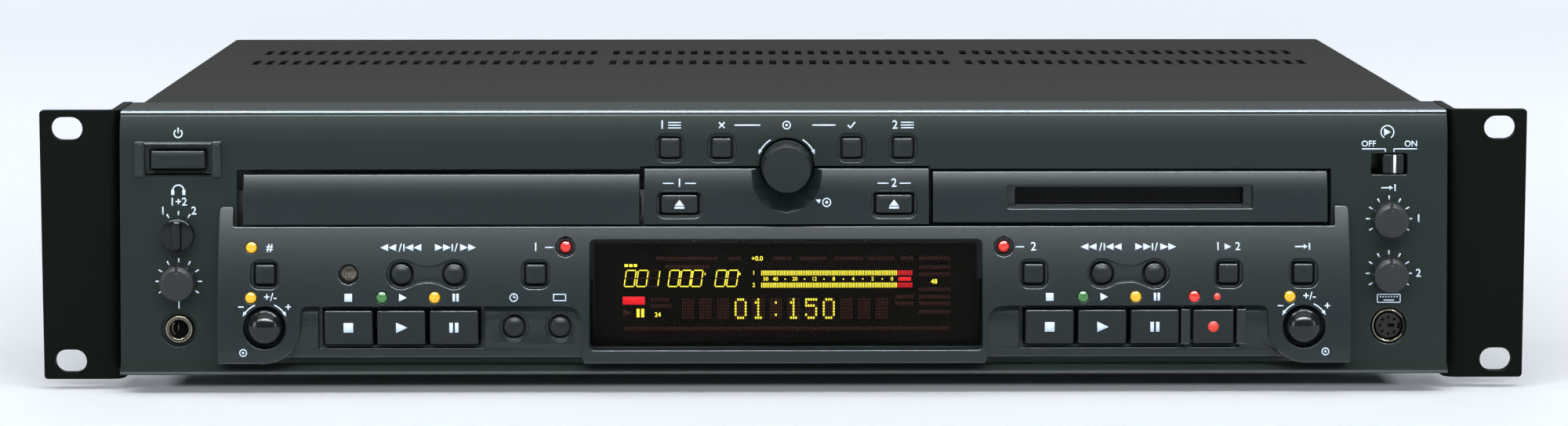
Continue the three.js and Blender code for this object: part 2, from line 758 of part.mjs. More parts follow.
// Escutcheon
function escutcheon() {
  const curve = facePoints(escutcheonOut, hornUp, escutcheonLowUp, faceSteps);
  const back = (height) => -panelOut(height) - seatGap;
  const outer = across(outline([
    ...curve,
    [-escutcheonOut(escutcheonLowUp), up(escutcheonBottomUp)],
    [back(escutcheonBottomUp), up(escutcheonBottomUp)],
    [back(hornUp), up(hornUp)],
  ]), rackWidth, 0);
  const plan = forward(escutcheonOutline(), deepestOut + panelBack, panelBack, faceSteps);
  const whole = outer.intersect(plan);

  const hollowTop = escutcheonTopUp - hollowRim;
  const hollowLow = transportUp - keyHeight / 2 - capGap - flangeReach - seatGap;
  const hollow = across(outline([
    [0, up(hollowLow)],
    [0, up(hollowTop)],
    ...facePoints(hollowWallOut, hollowTop, hollowLow, arcSteps),
  ]), escutcheonWidth - 2 * hollowRim, 0);

  // The display's frame reaches back into the hollow and carries the lens
  const displayHeight = displayTopUp - displayBottomUp;
  const displayZ = up((displayTopUp + displayBottomUp) / 2);
  const frameGrow = 2 * lensFrameWall;
  const frameBack = displayOut - lensThickness - seatGap - lensRim;
  const frame = forward(roundedRect(displayX, displayZ, displayWidth + frameGrow, displayHeight + lensFrameWall,
    displayRadius), deepestOut, -frameBack).intersect(outer);
  const pocket = forward(roundedRect(displayX, displayZ, displayWidth, displayHeight, displayRadius),
    deepestOut, lensThickness + seatGap - displayOut);
  const sight = forward(roundedRect(displayX, displayZ, displayWidth - 2 * lensRim, displayHeight - 2 * lensRim,
    displayRadius - lensRim / 2), deepestOut + panelBack, panelBack);

  const guards = [-1, 1].map((side) => {
    const x = recordX + side * (recordWidth / 2 + capGap + guardWidth / 2 + runningGap);
    const z = up(transportUp);
    const tall = keyHeight + runningGap;
    return block(x - guardWidth / 2, x + guardWidth / 2, -keyOut, -hollowOut, z - tall / 2, z + tall / 2);
  });
  const capsHere = capButtons.filter((button) => [escutcheonOut, deckFloorFace].includes(button.face));
  const rings = capsHere.filter((button) => !isSkip(button)).map(ringCut);
  const pairs = capsHere.filter((button) => button.pair).map(skipPairCut);
  const keyFrames = keyGroups().map((group) => forward(roundedRect(group.x, up(transportUp),
    group.width + 2 * keyFrameMargin, keyHeight + 2 * keyFrameMargin, squareRadius),
  deepestOut, ringDepth - deckTopOut));
  const keyHoles = keyGroups().map((group) => forward(roundedRect(group.x, up(transportUp), group.width,
    keyHeight + 2 * capGap, squareRadius), deepestOut + panelBack, panelBack));
  const pitchCuts = [-pitchColumnX, pitchColumnX].flatMap((x) => [
    disc(pitchRecessRadius, x, up(pitchUp), pitchRecessDepth - escutcheonOut(pitchUp), deepestOut),
    disc(jogShaftRadius + runningGap, x, up(pitchUp), panelBack, deepestOut + panelBack, smallRoundSteps),
  ]);
  const lampCuts = lamps.flatMap((lamp) => {
    const hole = disc(lampRadius + seatGap, lamp.x, up(lamp.up), panelBack, deepestOut + panelBack, lampSteps);
    const floor = escutcheonOut(lamp.up + lampRingRadius) - lampRingDepth;
    const ring = disc(lampRingRadius, lamp.x, up(lamp.up), -floor, deepestOut, smallRoundSteps);
    return lamp.ring ? [hole, ring] : [hole];
  });
  const screwFloor = escutcheonOut(squareRowUp + screwRecessRadius) - screwRecessDepth;
  const screwCut = disc(screwRecessRadius, screwX, up(squareRowUp), -screwFloor, deepestOut, smallRoundSteps);

  const shell = join(cut(whole, hollow), frame);
  const decked = join(cut(shell, deckCut(-1), deckCut(1), ...keyFrames), ...guards);
  return cut(decked, pocket, sight, ...rings, ...pairs, ...capsHere.map(capHole), ...keyHoles, ...pitchCuts,
    ...lampCuts, screwCut);
}

// The openings that the transport keys share, with the record key in one of its own
function keyGroups() {
  const three = 2 * keyPitch + keyWidth + 2 * capGap;
  return [
    { x: leftPlayX, width: three },
    { x: rightPlayX, width: three },
    { x: recordX, width: recordWidth + 2 * capGap },
  ];
}

function transportKey(key) {
  const z = up(transportUp);
  const seat = hollowOut - seatGap;
  const cap = forward(roundedRect(key.x, z, key.width, keyHeight, squareRadius), keyOut - seat, -seat, capSteps);
  const flangeWidth = key.x === recordX ? recordWidth + 2 * flangeReach : key.width;
  const flange = forward(roundedRect(key.x, z, flangeWidth, keyHeight + 2 * capGap + 2 * flangeReach, squareRadius),
    flangeThickness, flangeThickness - seat, flatSteps);
  const plungerBack = boardFront - buttonTravel - 2 * seatGap;
  const half = plungerSize / 2;
  const plunger = block(key.x - half, key.x + half, -seat, plungerBack, z - half, z + half);
  return join(cap, flange, plunger);
}

// Centre and minidisc fronts: a leaning block with a flange behind the panel wall
function frontBlock(x, width, low, high, flangeRight) {
  const profile = outline([
    [seatGap - frontsFlangeOut, up(low)],
    [-frontsOut(low), up(low)],
    [-frontsOut(high) - runningGap, up(low + (high - low) * frontBreakShare)],
    [-frontsOut(high), up(high)],
    [seatGap - frontsFlangeOut, up(high)],
  ]);
  const left = x - width / 2;
  const flange = block(left, x + width / 2 + flangeRight, -frontsFlangeOut, -frontsFlangeBack,
    up(openingBottomUp - flangeReach), up(openingMiddleTopUp + flangeReach));
  return join(across(profile, width, x), flange);
}

function centrePlate() {
  const plate = frontBlock(centreX, centreWidth, centreBottomUp, centreTopUp, 0);
  const buttons = capButtons.filter((button) => button.face === frontsOut);
  const slope = (jogDishRadius - jogSkirtRadius - capGap) / jogDishDepth;
  const dishFloor = frontsOut(jogUp - jogDishRadius / 2) - jogDishDepth;
  const reach = deepestOut - dishFloor;
  const dish = turned([[0, 0], [jogSkirtRadius + capGap, 0], [jogSkirtRadius + capGap + slope * reach, reach],
    [0, reach]], jogX, up(jogUp), -dishFloor);
  const hole = disc(jogSkirtRadius + capGap, jogX, up(jogUp), panelBack, deepestOut + panelBack);
  return cut(plate, dish, hole, ...buttons.map(ringCut), ...buttons.map(capHole));
}

function minidiscPlate() {
  const x = minidiscLeftX + minidiscWidth / 2;
  const plate = frontBlock(x, minidiscWidth, minidiscBottomUp, minidiscTopUp, 2 * flangeReach);
  const z = up(slotUp);
  const slot = forward(roundedRect(slotX, z, slotOpeningWidth, slotOpeningHeight, squareRadius),
    deepestOut + panelBack, panelBack);
  const bevel = forward(roundedRect(slotX, z, slotBevelWidth, slotBevelHeight, squareRadius), deepestOut,
    slotBevelDepth - frontsOut(slotUp + slotBevelHeight / 2));
  return cut(plate, slot, bevel);
}

function trayDoor() {
  const profile = outline([
    [-frontsBackOut - seatGap, up(doorBottomUp)],
    [-frontsOut(doorBottomUp), up(doorBottomUp)],
    [-frontsOut(doorTopUp) - runningGap, up(doorBottomUp + (doorTopUp - doorBottomUp) * frontBreakShare)],
    [-frontsOut(doorTopUp), up(doorTopUp)],
    [-frontsBackOut - seatGap, up(doorTopUp)],
  ]);
  return across(profile, doorWidth, doorLeftX + doorWidth / 2);
}

// Display lens and the module behind it
function displayLens() {
  const displayZ = up((displayTopUp + displayBottomUp) / 2);
  return forward(roundedRect(displayX, displayZ, displayWidth - 2 * seatGap,
    displayTopUp - displayBottomUp - 2 * seatGap, displayRadius - seatGap),
  lensThickness, lensThickness - displayOut);
}

function displayModule() {
  const front = displayOut - lensThickness - lensRim - 2 * seatGap - lensRim;
  const half = displayWidth / 2 - lensRim;
  const glass = block(displayX - half, displayX + half, -front, moduleDepth - front,
    up(displayBottomUp + lensRim), up(displayTopUp - lensRim));
  const feet = [-1, 1].map((side) => {
    const x = displayX + side * half * moduleFootShare;
    return block(x - plungerSize, x + plungerSize, moduleDepth - front - overrun, boardFront - seatGap,
      up(displayBottomUp + legSize / 2), up(displayBottomUp + legSize));
  });
  return join(glass, ...feet);
}

// Sockets
function phonesJack() {
  const z = up(phonesUp);
  const front = panelOut(phonesUp) + phonesRingProud;
  const wallBack = panelOut(phonesUp + phonesBodySize / 2) - panelWall - seatGap;
  const half = phonesBodySize / 2;
  const nose = disc(phonesRingRadius, -knobColumnX, z, overrun - wallBack, front - wallBack + overrun);
  const body = block(-knobColumnX - half, -knobColumnX + half, -wallBack, boardFront - seatGap, z - half, z + half);
  const bore = disc(phonesBoreRadius, -knobColumnX, z, phonesBodyDepth - wallBack, deepestOut + panelBack);
  return cut(join(nose, body), bore);
}

function keyboardSocket() {
  const z = up(keyboardUp);
  const front = panelOut(keyboardUp) - socketRecessDepth / 2;
  const wallBack = panelOut(keyboardUp + phonesBodySize / 2) - panelWall - seatGap;
  const half = phonesBodySize / 2;
  const ring = disc(keyboardRingRadius, knobColumnX, z, overrun - wallBack, front - wallBack + overrun);
  const body = block(knobColumnX - half, knobColumnX + half, -wallBack, boardFront - seatGap, z - half, z + half);
  const inner = keyboardRingRadius - keyboardRingWall;
  const groove = turned([[keyboardCoreRadius, 0], [inner, 0], [inner, lipOut], [0, lipOut],
    [0, keyboardDepth - keyboardRingWall], [keyboardCoreRadius, keyboardDepth - keyboardRingWall],
    [keyboardCoreRadius, 0]], knobColumnX, z, keyboardDepth - front);
  return cut(join(ring, body), groove);
}

// Control board with its potentiometers, shaft bushings and lamps
function controlBoard() {
  const half = boardWidth / 2;
  const low = up(boardMargin + panelWall);
  const high = up(panelHeight - boardMargin - panelWall);
  const z = (low + high) / 2;
  const plate = forward(roundedRect(0, z, 2 * half, high - low, boardMargin), boardThickness, boardBack);
  const trayNotch = block(doorLeftX - 2 * railWall, doorLeftX + doorWidth + railWall, 0, panelBack,
    up(openingBottomUp), up(openingTopUp + railWall));
  const slotNotch = block(slotX - slotOpeningWidth / 2 - railWall, slotX + slotOpeningWidth / 2 + railWall, 0,
    panelBack, up(openingBottomUp), up(openingTopUp));
  const turnedShafts = [...knobs, { x: -knobColumnX, up: selectorUp }].map((knob) => (
    { ...knob, bore: shaftRadius }));
  const pushShafts = [
    { x: jogX, up: jogUp, bore: jogShaftRadius },
    { x: -pitchColumnX, up: pitchUp, bore: jogShaftRadius },
    { x: pitchColumnX, up: pitchUp, bore: jogShaftRadius },
  ];
  const bushings = [...turnedShafts, ...pushShafts].map((shaft) => {
    const body = disc(potRadius, shaft.x, up(shaft.up), boardBack, boardThickness + potDepth, smallRoundSteps);
    const bore = disc(shaft.bore + runningGap, shaft.x, up(shaft.up), boardFront, panelBack, smallRoundSteps);
    return cut(body, bore);
  });
  const lights = lamps.map((lamp) => {
    const tip = (lamp.ring ? escutcheonOut(lamp.up) - lampRingDepth : escutcheonOut(lamp.up)) + lampProud;
    const length = tip + boardBack;
    return turned([
      [0, 0],
      [lampRadius, 0],
      [lampRadius, length - lampRadius],
      [lampRadius * lampTipRadiusShare, length - lampRadius * lampTipHeightShare],
      [0, length],
    ], lamp.x, up(lamp.up), boardBack, lampSteps);
  });
  return join(cut(plate, trayNotch, slotNotch), ...bushings, ...lights);
}

// Turning knobs
function volumeKnob(knob) {
  const z = up(knob.up);
  const base = panelOut(knob.up - knobRadius) + knobStand;
  const height = knobProud - knobStand;
  const ease = knobRound * knobRoundShare;
  const cap = turned([
    [0, 0],
    [knobRadius, 0],
    [knobRadius, height - knobRound],
    [knobRadius - ease, height - ease],
    [knobRadius - knobRound, height],
    [0, height],
  ], knob.x, z, -base);
  const shaftBack = boardFront - seatGap;
  return join(cap, disc(shaftRadius, knob.x, z, shaftBack, shaftBack + base + overrun, smallRoundSteps));
}

function selectorKnob() {
  const z = up(selectorUp);
  const base = panelOut(selectorUp - selectorRadius) + knobStand;
  const dial = disc(selectorRadius, -knobColumnX, z, -base, selectorProud);
  const grip = forward(roundedRect(-knobColumnX, z, selectorGrip, 2 * selectorRadius - knobRound, squareRadius),
    selectorGripDepth + overrun, overrun - base - selectorProud, flatSteps);
  const shaftBack = boardFront - seatGap;
  const shaft = disc(shaftRadius, -knobColumnX, z, shaftBack, shaftBack + base + overrun, smallRoundSteps);
  return join(dial, grip, shaft);
}

function jogKnob() {
  const base = frontsBackOut;
  const height = jogOut - base;
  const skirtTop = frontsOut(jogUp) + jogSkirt - base;
  const ease = knobRound * knobRoundShare;
  const cap = turned([
    [0, 0],
    [jogSkirtRadius, 0],
    [jogSkirtRadius, skirtTop - knobRound],
    [jogRadius + ease, skirtTop],
    [jogRadius, height - knobRound],
    [jogRadius - ease, height - ease],
    [jogRadius - knobRound, height],
    [0, height],
  ], jogX, up(jogUp), -base);
  const bore = disc(jogShaftRadius + runningGap, jogX, up(jogUp), overrun - base, height / 2 + overrun,
    smallRoundSteps);
  return cut(cap, bore);
}

function jogShaft() {
  const tip = frontsBackOut + (jogOut - frontsBackOut) / 2 - seatGap;
  const back = boardFront - pushTravel - seatGap;
  return disc(jogShaftRadius, jogX, up(jogUp), back, tip + back, smallRoundSteps);
}

function pitchKnob(x) {
  const base = escutcheonOut(pitchUp) - pitchRecessDepth + pushTravel + seatGap;
  const height = pitchOut - base;
  const points = [[0, 0], [pitchRadius, 0]];
  const dome = height * pitchDomeShare;
  for (let i = 0; i <= 2 * arcSteps; i += 1) {
    const angle = i / (2 * arcSteps) * Math.PI / 2;
    const radius = i === 2 * arcSteps ? 0 : pitchRadius * Math.cos(angle);
    points.push([radius, height - dome + dome * Math.sin(angle)]);
  }
  const bore = disc(jogShaftRadius + runningGap, x, up(pitchUp), overrun - base, height / 2 + overrun,
    smallRoundSteps);
  return cut(turned(points, x, up(pitchUp), -base), bore);
}

function pitchShaft(x) {
  const base = escutcheonOut(pitchUp) - pitchRecessDepth + pushTravel + seatGap;
  const tip = base + (pitchOut - base) / 2 - seatGap;
  const back = boardFront - pushTravel - seatGap;
  return disc(jogShaftRadius, x, up(pitchUp), back, tip + back, smallRoundSteps);
}

// Slide switch cap with its plate behind the panel
function switchCap() {
  const z = up(switchUp);
  const x = knobColumnX + switchRestX;
  const seat = panelOut(switchUp + switchWindowHeight / 2 + flangeReach) - panelWall - seatGap;
  const out = panelOut(switchUp);
  const back = switchSlideDepth - seat;
  const cap = forward(roundedRect(x, z, switchCapWidth, switchCapHeight, squareRadius), out + back, back, flatSteps);
  const plate = forward(roundedRect(x, z, switchCapWidth, switchWindowHeight + 2 * flangeReach, squareRadius),
    switchSlideDepth, back, flatSteps);
  return join(cap, plate);
}

// Rack ear, side -1 on the left and 1 on the right
function rackEar(side) {
  const inner = panelHalf + seatGap;
  const outer = rackWidth / 2;
  const bend = earThickness * earBendShare;
  const shape = new THREE.Shape();
  shape.moveTo(side * outer, 0);
  shape.lineTo(side * (inner + bend), 0);
  shape.quadraticCurveTo(side * inner, 0, side * inner, bend);
  shape.lineTo(side * inner, earLegDepth);
  shape.lineTo(side * (inner + earThickness), earLegDepth);
  shape.lineTo(side * (inner + earThickness), bend);
  shape.quadraticCurveTo(side * (inner + earThickness), earThickness, side * (inner + bend), earThickness);
  shape.lineTo(side * outer, earThickness);
  const bottom = panelTop - earHeight;
  const folded = upward(shape, earHeight, bottom);
  const z = bottom + earHeight / 2;
  const face = forward(roundedRect(0, z, rackWidth, earHeight, earCornerRadius), earLegDepth + 2 * overrun,
    earLegDepth + overrun, capSteps);
  const slots = [-1, 1].map((row) => forward(roundedRect(side * slotSpacingX / 2, z + row * slotSpacingZ / 2,
    slotLength, slotWidth, slotWidth / 2 - hair), 2 * earThickness, earThickness + overrun, faceSteps));
  return cut(folded.intersect(face), ...slots);
}

// Chassis: floor, side walls and the rear wall with its cut-outs
function chassis() {
  const floorFront = boardBack + seatGap + overrun;
  const bottom = footHeight;
  const top = lidTop - sheet - seatGap;
  const floorBack = bodyBack;
  const inner = chassisHalf - chassisSheet;
  const wallFront = panelBack + seatGap;
  const floor = block(-chassisHalf, chassisHalf, wallFront, floorBack, bottom, bottom + chassisSheet);
  const shelf = up(panelWall + seatGap);
  const walls = [-1, 1].map((side) => block(Math.min(side * inner, side * chassisHalf),
    Math.max(side * inner, side * chassisHalf), wallFront, floorBack, bottom, top));
  const reach = inner + chassisSheet / 2;
  const lifted = block(-reach, reach, floorFront, wallFront + chassisSheet, shelf, shelf + chassisSheet);
  const riser = block(-reach, reach, wallFront, wallFront + chassisSheet, bottom, shelf + chassisSheet);
  const rear = block(-chassisHalf, chassisHalf, bodyBack - chassisSheet, bodyBack, bottom, top);
  const inlet = inletPlace();
  const inletHole = block(inlet.x - inletWidth / 2 - seatGap, inlet.x + inletWidth / 2 + seatGap,
    bodyBack - 2 * overrun, bodyBack + overrun, inlet.z - inletHeight / 2 - seatGap,
    inlet.z + inletHeight / 2 + seatGap);
  const phono = phonoPlace();
  const phonoHole = block(phono.left - seatGap, phono.right + seatGap, bodyBack - 2 * overrun,
    bodyBack + overrun, phono.low - seatGap, phono.high + seatGap);
  return cut(join(floor, ...walls, lifted, riser, rear), inletHole, phonoHole);
}

function inletPlace() {
  const board = footHeight + chassisSheet + mainBoardLift + boardThickness;
  return { x: transformerWidth / 2 - mainBoardWidth / 2 + legSize / 2, z: board + inletHeight / 2 + legSize };
}

function phonoPlace() {
  const board = footHeight + chassisSheet + mainBoardLift + boardThickness;
  const right = mainBoardWidth / 2 - 2 * legSize;
  const width = phonoColumns * phonoSpacing;
  return { left: right - width, right, low: board - overrun, high: board + phonoRows * phonoSpacing };
}

// Main board with the transformer, the inlet and the block of phono sockets
function mainBoard() {
  const bottom = footHeight + chassisSheet + mainBoardLift;
  const top = bottom + boardThickness;
  const half = mainBoardWidth / 2;
  const back = bodyBack - chassisSheet - seatGap;
  const plate = block(-half, half, mainBoardFront, back, bottom, top);
  const posts = [-1, 1].flatMap((side) => [mainBoardFront + legSize, back - legSize].map((y) => {
    const x = side * (half - legSize);
    return block(x - legSize / 2, x + legSize / 2, y - legSize / 2, y + legSize / 2,
      footHeight + chassisSheet + seatGap, bottom + overrun / 2);
  }));
  const centre = (mainBoardFront + back) / 2;
  const transformer = block(legSize - half, legSize - half + transformerWidth,
    centre - transformerDepth / 2 - legSize, centre + transformerDepth / 2 - legSize,
    top - overrun / 2, top + transformerHeight);
  const inlet = inletPlace();
  const outside = bodyBack + inletWall;
  const shell = block(inlet.x - inletWidth / 2, inlet.x + inletWidth / 2, outside - inletDepth - inletWall, outside,
    inlet.z - inletHeight / 2, inlet.z + inletHeight / 2);
  const cavity = block(inlet.x - inletWidth / 2 + inletWall, inlet.x + inletWidth / 2 - inletWall,
    outside - inletDepth, outside + overrun, inlet.z - inletHeight / 2 + inletWall,
    inlet.z + inletHeight / 2 - inletWall);
  const neck = block(inlet.x - legSize / 2, inlet.x + legSize / 2, outside - inletDepth - inletWall,
    outside - inletDepth, top - overrun / 2, inlet.z);
  const pinHigh = inletHeight * inletPinShare;
  const pins = [[-inletPinSpread, 0], [0, pinHigh], [inletPinSpread, 0]].map(([dx, dz]) => block(
    inlet.x + dx - inletPin / 2, inlet.x + dx + inletPin / 2, outside - inletDepth - overrun, outside - inletPin,
    inlet.z + dz - inletPin, inlet.z + dz + inletPin));
  const phono = phonoPlace();
  const panel = block(phono.left, phono.right, back - phonoSpacing, bodyBack, phono.low, phono.high);
  const sockets = [];
  for (let column = 0; column < phonoColumns; column += 1) {
    for (let row = 0; row < phonoRows; row += 1) {
      const x = phono.left + (column + 1 / 2) * phonoSpacing;
      const z = phono.low + overrun + (row + 1 / 2) * phonoSpacing;
      sockets.push(disc(phonoRadius, x, z, backMost, rearProud + overrun, smallRoundSteps));
    }
  }
  return join(plate, ...posts, transformer, cut(join(shell, neck), cavity), ...pins, panel, ...sockets);
}

// Top cover: lid with two rows of vents, sides and the long pressed ribs
function topCover() {
  const front = panelBack + seatGap;
  const lid = roundedRect(0, (front + bodyBack) / 2, bodyWidth, bodyBack - front, lidCornerRadius);
  const groupWidth = (ventsInGroup - 1) * ventPitch + ventGroupGap;
  const vents = [];
  for (const back of [frontVentBack, rearVentBack]) {
    for (const group of [-1, 0, 1]) {
      for (let i = 0; i < ventsInGroup; i += 1) {
        const x = group * groupWidth + (i - (ventsInGroup - 1) / 2) * ventPitch;
        vents.push(block(x - ventWidth / 2, x + ventWidth / 2, back - ventLength / 2, back + ventLength / 2,
          lidTop - 2 * sheet, lidTop + sheet));
      }
    }
  }
  const top = cut(upward(lid, sheet, lidTop - sheet), join(...vents));
  const low = footHeight + seatGap;
  const sides = [-1, 1].map((side) => block(Math.min(side * bodyHalf, side * (bodyHalf - sheet)),
    Math.max(side * bodyHalf, side * (bodyHalf - sheet)), front + sheet, bodyBack - sheet,
    low, lidTop - sheet / 2));
  const ribTop = lidTop - 2 * sheet;
  const ribs = [-1, 1].map((side) => {
    const outer = side * (bodyHalf + ribProud);
    const shape = new THREE.Shape();
    shape.moveTo(side * (bodyHalf - sheet / 2), front + sheet);
    shape.lineTo(outer, front + sheet);
    shape.lineTo(outer, front + ribLength - ribProud);
    shape.quadraticCurveTo(outer, front + ribLength, side * (bodyHalf - sheet / 2), front + ribLength);
    return upward(shape, ribHeight, ribTop - ribHeight);
  });
  return join(top, ...sides, ...ribs);
}

function foot(x, y) {
  const profile = [
    [0, 0],
    [footRadius - overrun, 0],
    [footRadius, overrun],
    [footRadius, footHeight - seatGap],
    [0, footHeight - seatGap],
  ].map(([radius, z]) => new THREE.Vector2(radius, z));
  const geometry = new THREE.LatheGeometry(profile, smallRoundSteps);
  geometry.rotateX(Math.PI / 2);
  geometry.translate(x, y, 0);
  return solid(geometry);
}

// Disc tray: the pocket for the disc, and a slot that lets it pass the spindle
const trayX = doorLeftX + doorWidth / 2;
const trayFront = -frontsBackOut;
function discTray() {
  const back = trayFront + trayLength;
  const width = doorWidth - 2 * seatGap;
  const plate = block(trayX - width / 2, trayX + width / 2, trayFront, back, up(trayBottomUp),
    up(trayBottomUp + trayThickness));
  const pocketShape = new THREE.Shape();
  pocketShape.absarc(trayX, discBack, discRadius, 0, 2 * Math.PI, false);
  const pocket = upward(pocketShape, trayThickness, up(trayBottomUp + trayFloor), roundSteps);
  const slot = block(trayX - spindleSlot / 2, trayX + spindleSlot / 2, discBack - spindleSlot / 2, back + overrun,
    up(trayBottomUp) - overrun, up(trayBottomUp + trayThickness) + overrun);
  return cut(plate, pocket, slot);
}

function turntable() {
  const top = trayBottomUp + trayFloor + seatGap;
  const bottom = trayBottomUp;
  const shape = [
    [0, bottom - cdBaseDepth / 2],
    [shaftRadius, bottom - cdBaseDepth / 2],
    [shaftRadius, bottom],
    [turntableRadius, bottom],
    [turntableRadius, top],
    [spindleRadius, top],
    [spindleRadius - knobRound, top + spindleHeight],
    [0, top + spindleHeight],
  ].map(([radius, z]) => new THREE.Vector2(radius, up(z)));
  const geometry = new THREE.LatheGeometry(shape, roundSteps);
  geometry.rotateX(Math.PI / 2);
  geometry.translate(trayX, discBack, 0);
  return solid(geometry);
}

function legs(left, right, front, back, top) {
  const bottom = footHeight + chassisSheet + seatGap;
  const half = legSize / 2;
  return [left + half, right - half].flatMap((x) => [front + half, back - half].map((y) =>
    block(x - half, x + half, y - half, y + half, bottom, top)));
}

function discMechanism() {
  const inner = doorWidth / 2 - seatGap + runningGap;
  const outer = inner + railWall;
  const top = trayBottomUp - runningGap;
  const lipLow = trayBottomUp + trayThickness + runningGap;
  const front = mechanismFront;
  const base = block(trayX - outer, trayX + outer, front, cdBack, up(top - cdBaseDepth), up(top));
  const rails = [-1, 1].flatMap((side) => {
    const near = trayX + side * inner;
    const far = trayX + side * outer;
    const lip = trayX + side * (inner - railLip);
    return [
      block(Math.min(near, far), Math.max(near, far), front, cdBack, up(top - overrun), up(lipLow + railLip)),
      block(Math.min(lip, far), Math.max(lip, far), front, cdBack, up(lipLow), up(lipLow + railLip)),
    ];
  });
  const bridgeLow = lipLow + railLip - overrun;
  const bridge = block(trayX - outer, trayX + outer, discBack - bridgeWidth / 2, discBack + bridgeWidth / 2,
    up(bridgeLow), up(bridgeLow + bridgeThickness));
  const puckShape = new THREE.Shape();
  puckShape.absarc(trayX, discBack, clampRadius, 0, 2 * Math.PI, false);
  const puckLow = trayBottomUp + trayThickness + clampGap - 2 * runningGap;
  const puck = upward(puckShape, bridgeLow + overrun - puckLow, up(puckLow), roundSteps / 2);
  const boreShape = new THREE.Shape();
  boreShape.absarc(trayX, discBack, shaftRadius + runningGap, 0, 2 * Math.PI, false);
  const bore = upward(boreShape, cdBaseDepth, up(trayBottomUp - cdBaseDepth / 2 - runningGap), smallRoundSteps / 2);
  const posts = legs(trayX - outer, trayX + outer, panelBack + 2 * legSize, cdBack, up(top - cdBaseDepth + overrun));
  return cut(join(base, ...rails, bridge, puck, ...posts), bore);
}

function minidiscMechanism() {
  const halfIn = cartridgeWidth / 2;
  const low = slotUp - cartridgeHeight / 2;
  const high = slotUp + cartridgeHeight / 2;
  const left = slotX - halfIn - bayWall;
  const right = slotX + halfIn + bayWall;
  const box = block(left, right, mechanismFront, minidiscBack, up(low - bayWall), up(high + bayWall));
  const bay = block(slotX - halfIn, slotX + halfIn, mechanismFront - overrun, mechanismFront + cartridgeDepth,
    up(low), up(high));
  const posts = legs(left, right, panelBack + 2 * legSize, minidiscBack, up(low - bayWall + overrun));
  return join(cut(box, bay), ...posts);
}

function slotFlap() {
  const z = up(slotUp);
  const back = -frontsFlangeBack - seatGap;
  return block(slotX - slotOpeningWidth / 2 + flapInset, slotX + slotOpeningWidth / 2 - flapInset,
    back - flapThickness, back, z - slotOpeningHeight / 2 + flapInset, z + slotOpeningHeight / 2 - flapInset);
}

// Materials
const material = (color, roughness, metalness = 0) => new THREE.MeshStandardMaterial(
  { color, roughness, metalness });
const finishes = {
  panel: material(0x2b3230, 0.6),
  escutcheon: material(0x3a4148, 0.5),
  key: material(0x24292c, 0.45),
  knob: material(0x2a2c2d, 0.7),
  gloss: material(0x1c2026, 0.15),
  ear: material(0x1c1e18, 0.55, 0.3),
  cover: material(0x4a4843, 0.5, 0.4),
  steel: material(0x9a9c9a, 0.4, 0.8),
  lens: material(0x0d0c0a, 0.08),
  board: material(0x20502c, 0.6),
  white: material(0xd8d8d4, 0.5),
  rubber: material(0x161616, 0.9),
  nickel: material(0xb8b09a, 0.3, 0.9),
};

const deck = new THREE.Group();
deck.position.y = -originY;
function add(name, body, finish) {
  const mesh = new THREE.Mesh(surface(body), finishes[finish].clone());
  mesh.name = name;
  deck.add(mesh);
}

add('front_panel', frontPanel(), 'panel');
add('control_escutcheon', escutcheon(), 'escutcheon');
add('centre_plate', centrePlate(), 'escutcheon');
add('minidisc_front', minidiscPlate(), 'escutcheon');
add('display_lens', displayLens(), 'lens');
add('display_module', displayModule(), 'lens');
add('control_board', controlBoard(), 'board');
add('rack_ear_left', rackEar(-1), 'ear');
add('rack_ear_right', rackEar(1), 'ear');
add('top_cover', topCover(), 'cover');
add('chassis_tray', chassis(), 'steel');
add('main_board', mainBoard(), 'board');
add('disc_mechanism', discMechanism(), 'steel');
add('minidisc_mechanism', minidiscMechanism(), 'steel');
add('disc_turntable', turntable(), 'knob');
add('disc_tray', discTray(), 'knob');
add('tray_door', trayDoor(), 'escutcheon');
add('minidisc_slot_flap', slotFlap(), 'key');
add('power_button', capButton(powerButton()), 'key');
for (const button of capButtons) {
  add(button.name, capButton(button), 'key');
}
for (const key of transportKeys) {
  add(key.name, transportKey(key), 'key');
}
for (const knob of knobs) {
  add(knob.name, volumeKnob(knob), 'knob');
}
add('phones_selector', selectorKnob(), 'knob');
add('slide_switch_cap', switchCap(), 'key');
add('jog_knob', jogKnob(), 'knob');
add('jog_shaft', jogShaft(), 'steel');
add('pitch_knob_left', pitchKnob(-pitchColumnX), 'gloss');
add('pitch_shaft_left', pitchShaft(-pitchColumnX), 'steel');
add('pitch_knob_right', pitchKnob(pitchColumnX), 'gloss');
add('pitch_shaft_right', pitchShaft(pitchColumnX), 'steel');
add('phones_jack', phonesJack(), 'nickel');
add('keyboard_socket', keyboardSocket(), 'nickel');
const footX = bodyHalf - footInset;
for (const [row, y] of [['front', panelBack + footInset], ['rear', bodyBack - footInset]]) {
  add(`foot_${row}_left`, foot(-footX, y), 'rubber');
  add(`foot_${row}_right`, foot(footX, y), 'rubber');
}

export default deck;
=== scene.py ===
import json
import math

